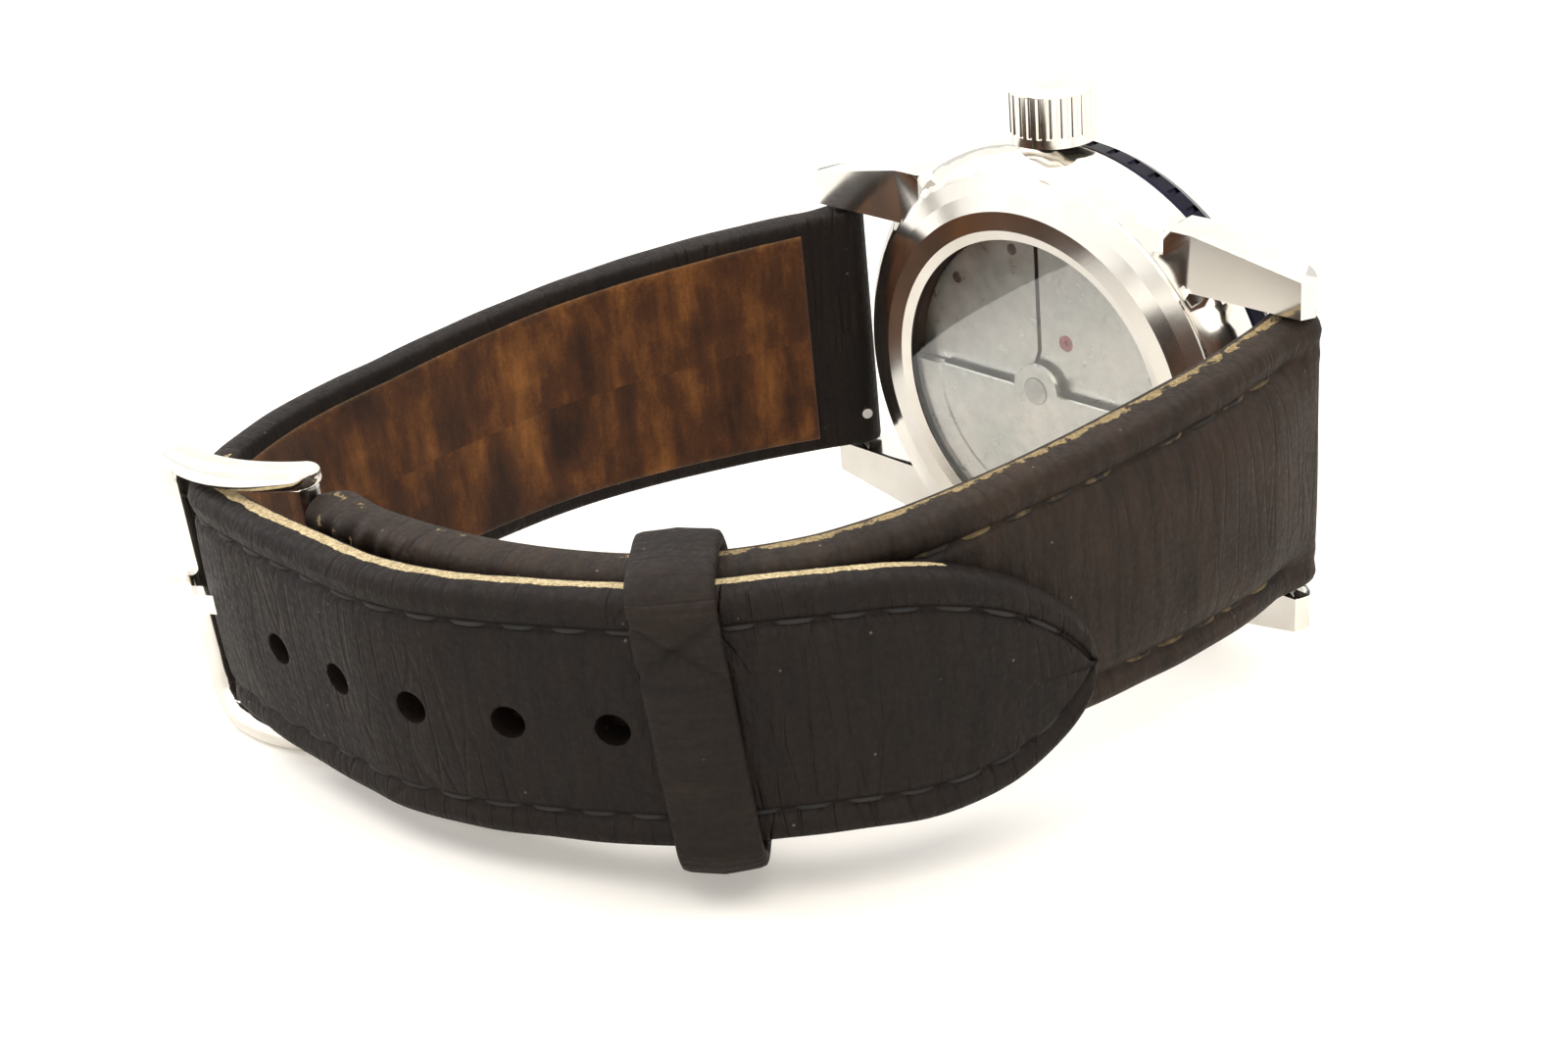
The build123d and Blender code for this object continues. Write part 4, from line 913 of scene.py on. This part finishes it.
# %% Keeper
keeper_bend = keeper_arc_length / math.radians(-short_arcs[5][1])
keeper_width = 5.4
keeper_wall = 1.2
keeper_in = -(short_thickness / 2 + soft_gap)
keeper_out = short_thickness / 2 + soft_gap + long_thickness + soft_gap
keeper_half = 9.45
keeper_corner = 2.2
keeper_slant = math.radians(4)
keeper_place = keeper_run + 1.5
keeper_section = [
    (0.0, 0.0, -1.0), (0.36, 0.80, -1.0), (0.44, 0.97, -0.7), (0.5, 1.0, 0.0),
    (0.57, 0.96, 0.75), (0.66, 0.80, 1.0), (1.0, 0.0, 1.35)]
crease_depth = 0.36
crease_width = 0.45
crease_lines = ((0.75, 6.0), (-0.65, 6.3))


def keeper_line(u):
    """The loop's middle line: (depth, z) and its outward normal, round a soft-cornered rectangle."""
    low, high = keeper_in - keeper_wall / 2, keeper_out + keeper_wall / 2
    half = keeper_half + keeper_wall / 2
    turn_leg = math.pi / 2 * keeper_corner
    legs = [high - low - 2 * keeper_corner, turn_leg, 2 * half - 2 * keeper_corner, turn_leg] * 2
    x, z, way = corner_walk((u % 1.0) * sum(legs), legs, keeper_corner)
    return low + keeper_corner + x, z - half, math.sin(way), -math.cos(way)


def keeper_shape(u, v):
    """A point of the loop: a flat band with round edges, creased near its top and set aslant."""
    depth, z, out_depth, out_z = keeper_line(u)
    side, walk = folded(v)
    wide, up = between(keeper_section, walk)
    run_off = side * wide * keeper_width / 2
    lift = up * keeper_wall / 2
    if up > 0.3 and depth > keeper_out:
        for slope, height in crease_lines:
            lift -= crease_depth * math.exp(-((z - height - slope * run_off) / crease_width) ** 2)
    run_off += z * math.tan(keeper_slant) * 0.9
    run = keeper_place + run_off * keeper_bend / (keeper_bend + depth)
    return short_point(run, depth + out_depth * lift, z + out_z * lift)


def keeper_wear(u, v):
    """The loop is rubbed just inside its outer edges."""
    return max(0.0, 1 - abs(folded(v)[1] - 0.6) / 0.08)


keeper_piece = rolled(
    "keeper_loop", leather_keeper, 200, 48, keeper_shape,
    length_mm=60, round_mm=14, wear=keeper_wear, closed=True)
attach(keeper_piece, "keeper_group")
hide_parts("keeper")

# %% [markdown]
# ## The buckle's frame
# The frame is one bar of steel, bent to a U and polished until no edge is left. Its middle line runs
# up one bowed arm, round a soft corner, along the front bar (the dee) and back down the other arm.

# %% Buckle frame
buckle_bar_at = Vector(short_at(short_length)[:2])
dee_run = 62.2
dee_radius = 1.0
dee_x, dee_y, dee_way = long_own_at(dee_run)
dee_reach = long_thickness / 2 + soft_gap + dee_radius
dee_at = Vector((dee_x + dee_reach * math.sin(dee_way), dee_y - dee_reach * math.cos(dee_way)))
frame_ahead = (dee_at - buckle_bar_at).normalized()
frame_span = (dee_at - buckle_bar_at).length
frame_out = Vector((-frame_ahead.y, frame_ahead.x))
if frame_out.dot(buckle_bar_at + Vector((0, 20))) < 0:
    frame_out = -frame_out
arm_foot = 1.2
arm_bow = 1.7
arm_side = 10.35
frame_corner = 2.2
arm_leg = frame_span + arm_foot - frame_corner
dee_leg = 2 * (arm_side - frame_corner)
frame_turn = math.pi / 2 * frame_corner
frame_legs = [arm_leg, frame_turn, dee_leg, frame_turn, arm_leg]
frame_length = sum(frame_legs)
arm_end_round = 1.1
frame_half_width = 0.95
frame_half_height = 0.98
arm_extra_height = 0.17


def frame_line(walk):
    """Middle line at a distance along the U: (along the arm, z, tangent along, tangent z)."""
    s, z, way = corner_walk(walk, frame_legs, frame_corner)
    return s - arm_foot, arm_side - z, math.cos(way), -math.sin(way)


def softened(value):
    """A sine or cosine with its middle filled out, so that a circle turns a little square."""
    return math.copysign(abs(value) ** 0.8, value)


def frame_shape(u, v):
    """A point of the frame's surface, on a soft square section round the U."""
    s, z, ahead_s, ahead_z = frame_line(u * frame_length)
    share = min(max((s + arm_foot) / (frame_span + arm_foot), 0.0), 1.0)
    bow = arm_bow * 4 * share * (1 - share)
    on_arm = 1 - eased((s - frame_span + frame_corner) / 2)
    end = turned_end(u, frame_length, arm_end_round) * turned_end(1 - u, frame_length, arm_end_round)
    turn = 2 * math.pi * v
    wide = frame_half_width * softened(math.sin(turn)) * end
    tall = (frame_half_height + arm_extra_height * on_arm) * softened(math.cos(turn)) * end
    place = buckle_bar_at + frame_ahead * (s - ahead_z * wide) + frame_out * (bow + tall)
    return watch(place.x, place.y, z + ahead_s * wide)


buckle_piece = rolled("buckle_polished_frame", None, 260, 28, frame_shape)
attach(buckle_piece, "buckle_group")
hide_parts("buckle_frame")

# %% [markdown]
# ## The case, softened
# A polished case has no sharp edge left. The CAD case is copied, its flat triangles are merged, and
# the lugs' long sharp edges get a small round of 0.3 mm, which is what catches the light.

# %% Polished case
edge_round = 0.3
lug_zone_radius = 19.6
shortest_edge = 0.6
bm = bmesh.new()
bm.from_mesh(nodes["case_middle"].data)
bmesh.ops.remove_doubles(bm, verts=bm.verts, dist=0.000002)
bmesh.ops.dissolve_limit(bm, angle_limit=math.radians(0.8), verts=bm.verts, edges=bm.edges)


def on_lug(edge):
    """True for an edge that lies outside the round part of the case."""
    middle = (edge.verts[0].co + edge.verts[1].co) / 2 - case_origin
    return math.hypot(middle.dot(along_lugs), middle.dot(to_crown)) > lug_zone_radius * MM


lug_edges = [
    edge for edge in bm.edges
    if len(edge.link_faces) == 2 and edge.calc_length() > shortest_edge * MM
    and edge.calc_face_angle(0) > math.radians(30) and on_lug(edge)
]
bmesh.ops.bevel(
    bm, geom=lug_edges, offset=edge_round * MM, offset_type="OFFSET", segments=3,
    profile=0.5, affect="EDGES", clamp_overlap=True, material=-1,
)
bmesh.ops.triangulate(bm, faces=[face for face in bm.faces if len(face.verts) > 4])
bmesh.ops.recalc_face_normals(bm, faces=bm.faces)
case_piece = link(bm, "case_polished", None)
with bpy.context.temp_override(
        object=case_piece, active_object=case_piece,
        selected_editable_objects=[case_piece], selected_objects=[case_piece]):
    bpy.ops.object.shade_smooth_by_angle(angle=math.radians(32))
even = case_piece.modifiers.new("even_normals", "WEIGHTED_NORMAL")
even.keep_sharp = True
even.weight = 100
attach(case_piece, "watch_body")
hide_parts("case_middle")
print("lug edges rounded:", len(lug_edges))

# %% [markdown]
# ## Metals
# The case, lugs, buckle and crown are polished 316L stainless steel. It is a mirror with a faint warm
# grey, so its look comes from the room. The bezel is black-coated steel with a faint violet sheen.

# %% Steel and coated steel
def metal(name, hex_low, hex_high, rough_low, rough_high, cell_mm, dent_strength=0.04):
    """A metal whose colour and polish vary slightly over its surface."""
    material, tree, shader = new_material(name, Metallic=1.0)
    place = object_place(tree)
    smear = noise(tree, place, cell_mm, 4.0, 0.6)
    tree.links.new(ramp(tree, smear, [(0.35, hex_low), (0.65, hex_high)]), shader.inputs["Base Color"])
    tree.links.new(mapped(tree, smear, 0.3, 0.7, rough_low, rough_high), shader.inputs["Roughness"])
    dents = bump(tree, noise(tree, place, 0.4, 3.0), dent_strength, 0.00002)
    tree.links.new(dents, shader.inputs["Normal"])
    return material


polished_steel = metal("polished_stainless_steel", "#e6e2da", "#f7f4ee", 0.08, 0.16, 6)
case_steel = metal("polished_case_steel", "#e4e0d8", "#f5f2ec", 0.10, 0.18, 8)
bezel_black = metal("black_coated_steel", "#121118", "#1f1d2e", 0.2, 0.32, 5)
movement_nickel = metal("rhodium_plated_brass", "#d0cec9", "#e6e4de", 0.25, 0.4, 1.5, 0.08)
movement_steel = metal("hardened_steel", "#a9a8a6", "#c9c7c3", 0.15, 0.3, 2)
spring_steel = metal("blued_spring_steel", "#5c6478", "#8a8f9c", 0.2, 0.35, 2)
train_brass = metal("gilt_brass", "#b08a45", "#d8b468", 0.2, 0.35, 2)
hand_steel = metal("polished_hand_steel", "#c9c9cb", "#e6e6e6", 0.1, 0.2, 2)
print("metals made; materials so far:", len(bpy.data.materials))

# %% [markdown]
# ## Glass, ruby, plastic, rubber and enamel
# Sapphire has an index of 1.77 and stays clear at this thickness. Ruby jewels are the same crystal in
# red. The insert is anodised aluminium, the dial is white lacquer, and the seals are nitrile rubber.

# %% Clear and coloured solids
def solid(name, hex_low, hex_high, roughness, cell_mm, **surface):
    """A dielectric whose colour varies gently over its surface."""
    material, tree, shader = new_material(name, Roughness=roughness, **surface)
    cloud = noise(tree, object_place(tree), cell_mm, 3.0)
    tree.links.new(ramp(tree, cloud, [(0.35, hex_low), (0.65, hex_high)]), shader.inputs["Base Color"])
    return material


insert_black = solid("black_anodised_aluminium", "#14131c", "#242136", 0.3, 4, IOR=1.6)
sapphire = solid("sapphire_crystal", "#f2f6f6", "#ffffff", 0.02, 5, IOR=1.77, Transmission_Weight=1.0)
seal_rubber = solid("nitrile_rubber", "#161616", "#262524", 0.7, 1, IOR=1.52)
dial_white = solid("white_lacquer", "#f1efe9", "#f8f7f3", 0.3, 6, IOR=1.5)
ruby = solid("synthetic_ruby", "#a01530", "#c8304a", 0.08, 1, IOR=1.77)
holder_plastic = solid("acetal_plastic", "#4a4038", "#5a4e44", 0.5, 3, IOR=1.48)

slot_looks = {
    "polished_steel": polished_steel, "case_steel": case_steel, "bezel_black": bezel_black,
    "insert_black": insert_black, "sapphire": sapphire, "seal_rubber": seal_rubber,
    "dial_white": dial_white, "hand_steel": hand_steel, "movement_nickel": movement_nickel,
    "train_brass": train_brass, "movement_steel": movement_steel, "spring_steel": spring_steel,
    "ruby": ruby, "holder_plastic": holder_plastic,
    "strap_leather": leather_short, "lining_leather": lining_short,
}
slot_of = {part["node"]: part["material_slot"] for part in frame["record"]["subparts"]}
for name, node in nodes.items():
    node.data.materials.clear()
    node.data.materials.append(slot_looks[slot_of[name]])
buckle_piece.data.materials.append(polished_steel)
case_piece.data.materials.append(case_steel)
print("nodes given a finish:", len(nodes))

# %% [markdown]
# ## Studio
# The studio is a white paper sweep under a white dome. To the camera alone the paper glows more with
# distance, so its far side fades into the dome, and the dome is brighter in mirrors than on matt things.

# %% Floor and world
cad_centre = (cad_low + cad_high) / 2
floor_mesh = bpy.data.meshes.new("floor")
bm = bmesh.new()
bmesh.ops.create_grid(bm, x_segments=1, y_segments=1, size=3)
bm.to_mesh(floor_mesh)
bm.free()
floor = bpy.data.objects.new("floor", floor_mesh)
bpy.context.scene.collection.objects.link(floor)
floor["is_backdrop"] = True

paper, paper_tree, paper_shader = new_material("white_paper_sweep", Roughness=0.9)
paper_shader.inputs["Base Color"].default_value = colour("#f4f2ee")
paper_shader.inputs["Specular IOR Level"].default_value = 0.1
paper_place = object_place(paper_tree)
paper_grain = bump(paper_tree, noise(paper_tree, paper_place, 0.8, 2.0), 0.05, 0.00005)
paper_tree.links.new(paper_grain, paper_shader.inputs["Normal"])
paper_seen = add_node(paper_tree, "ShaderNodeLightPath").outputs["Is Camera Ray"]
paper_far = add_node(paper_tree, "ShaderNodeVectorMath", {"operation": "LENGTH"}, i0=paper_place)
paper_level = mapped(paper_tree, paper_far.outputs["Value"], 0.15, 0.9, 0.22, 0.7)
paper_glow = shade(paper_tree, "ShaderNodeMath", {"operation": "MULTIPLY"}, i0=paper_seen, i1=paper_level)
paper_tree.links.new(paper_glow, paper_shader.inputs["Emission Strength"])
paper_shader.inputs["Emission Color"].default_value = colour("#fffaf2")
floor.data.materials.append(paper)

world = bpy.data.worlds.new("studio")
bpy.context.scene.world = world
world.use_nodes = True
world_tree = world.node_tree
backdrop = world_tree.nodes["Background"]
path = add_node(world_tree, "ShaderNodeLightPath")
backdrop.inputs[0].default_value = colour("#fffdf9")
seen = shade(
    world_tree, "ShaderNodeMath", {"operation": "MAXIMUM"},
    i0=path.outputs["Is Camera Ray"], i1=path.outputs["Is Transmission Ray"])
dome_level = shade(world_tree, "ShaderNodeMapRange", Value=seen, i3=0.55, i4=1.0)
mirrored = scaled_sum(world_tree, path.outputs["Is Glossy Ray"], 0.75, dome_level)
world_tree.links.new(mirrored, backdrop.inputs[1])
print("floor and dome made; the floor is", round(floor.dimensions.x, 1), "m wide")

# %% [markdown]
# Three soft lamps model the form: a large one overhead, a cool one from the left like a window, and a
# weak warm one from the camera's side.

# %% Lights
def soft_light(name, size, power, place, hex_code):
    """A rectangular area light that looks at the watch."""
    data = bpy.data.lights.new(name, "AREA")
    data.shape = "RECTANGLE"
    data.size, data.size_y = size
    data.energy = power
    data.color = colour(hex_code)[:3]
    lamp = bpy.data.objects.new(name, data)
    bpy.context.scene.collection.objects.link(lamp)
    lamp.location = cad_centre + Vector(place)
    lamp.rotation_euler = (cad_centre - lamp.location).to_track_quat("-Z", "Y").to_euler()
    print(name, "light,", power, "W")


soft_light("overhead", (0.7, 0.6), 3.2, (0.05, 0.0, 0.45), "#fffaf2")
soft_light("left_window", (0.5, 0.4), 1.6, (-0.45, -0.25, 0.3), "#f4f6ff")
soft_light("camera_fill", (0.4, 0.3), 0.9, (0.35, -0.42, 0.18), "#fff6e8")

# %% Sizes and finish
made_low, made_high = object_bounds()
for label, growth in (("low", cad_low - made_low), ("high", made_high - cad_high)):
    print("grown at the", label, "side by mm", [round(v * 1000, 2) for v in growth])
bpy.context.scene.view_settings.view_transform = "Standard"
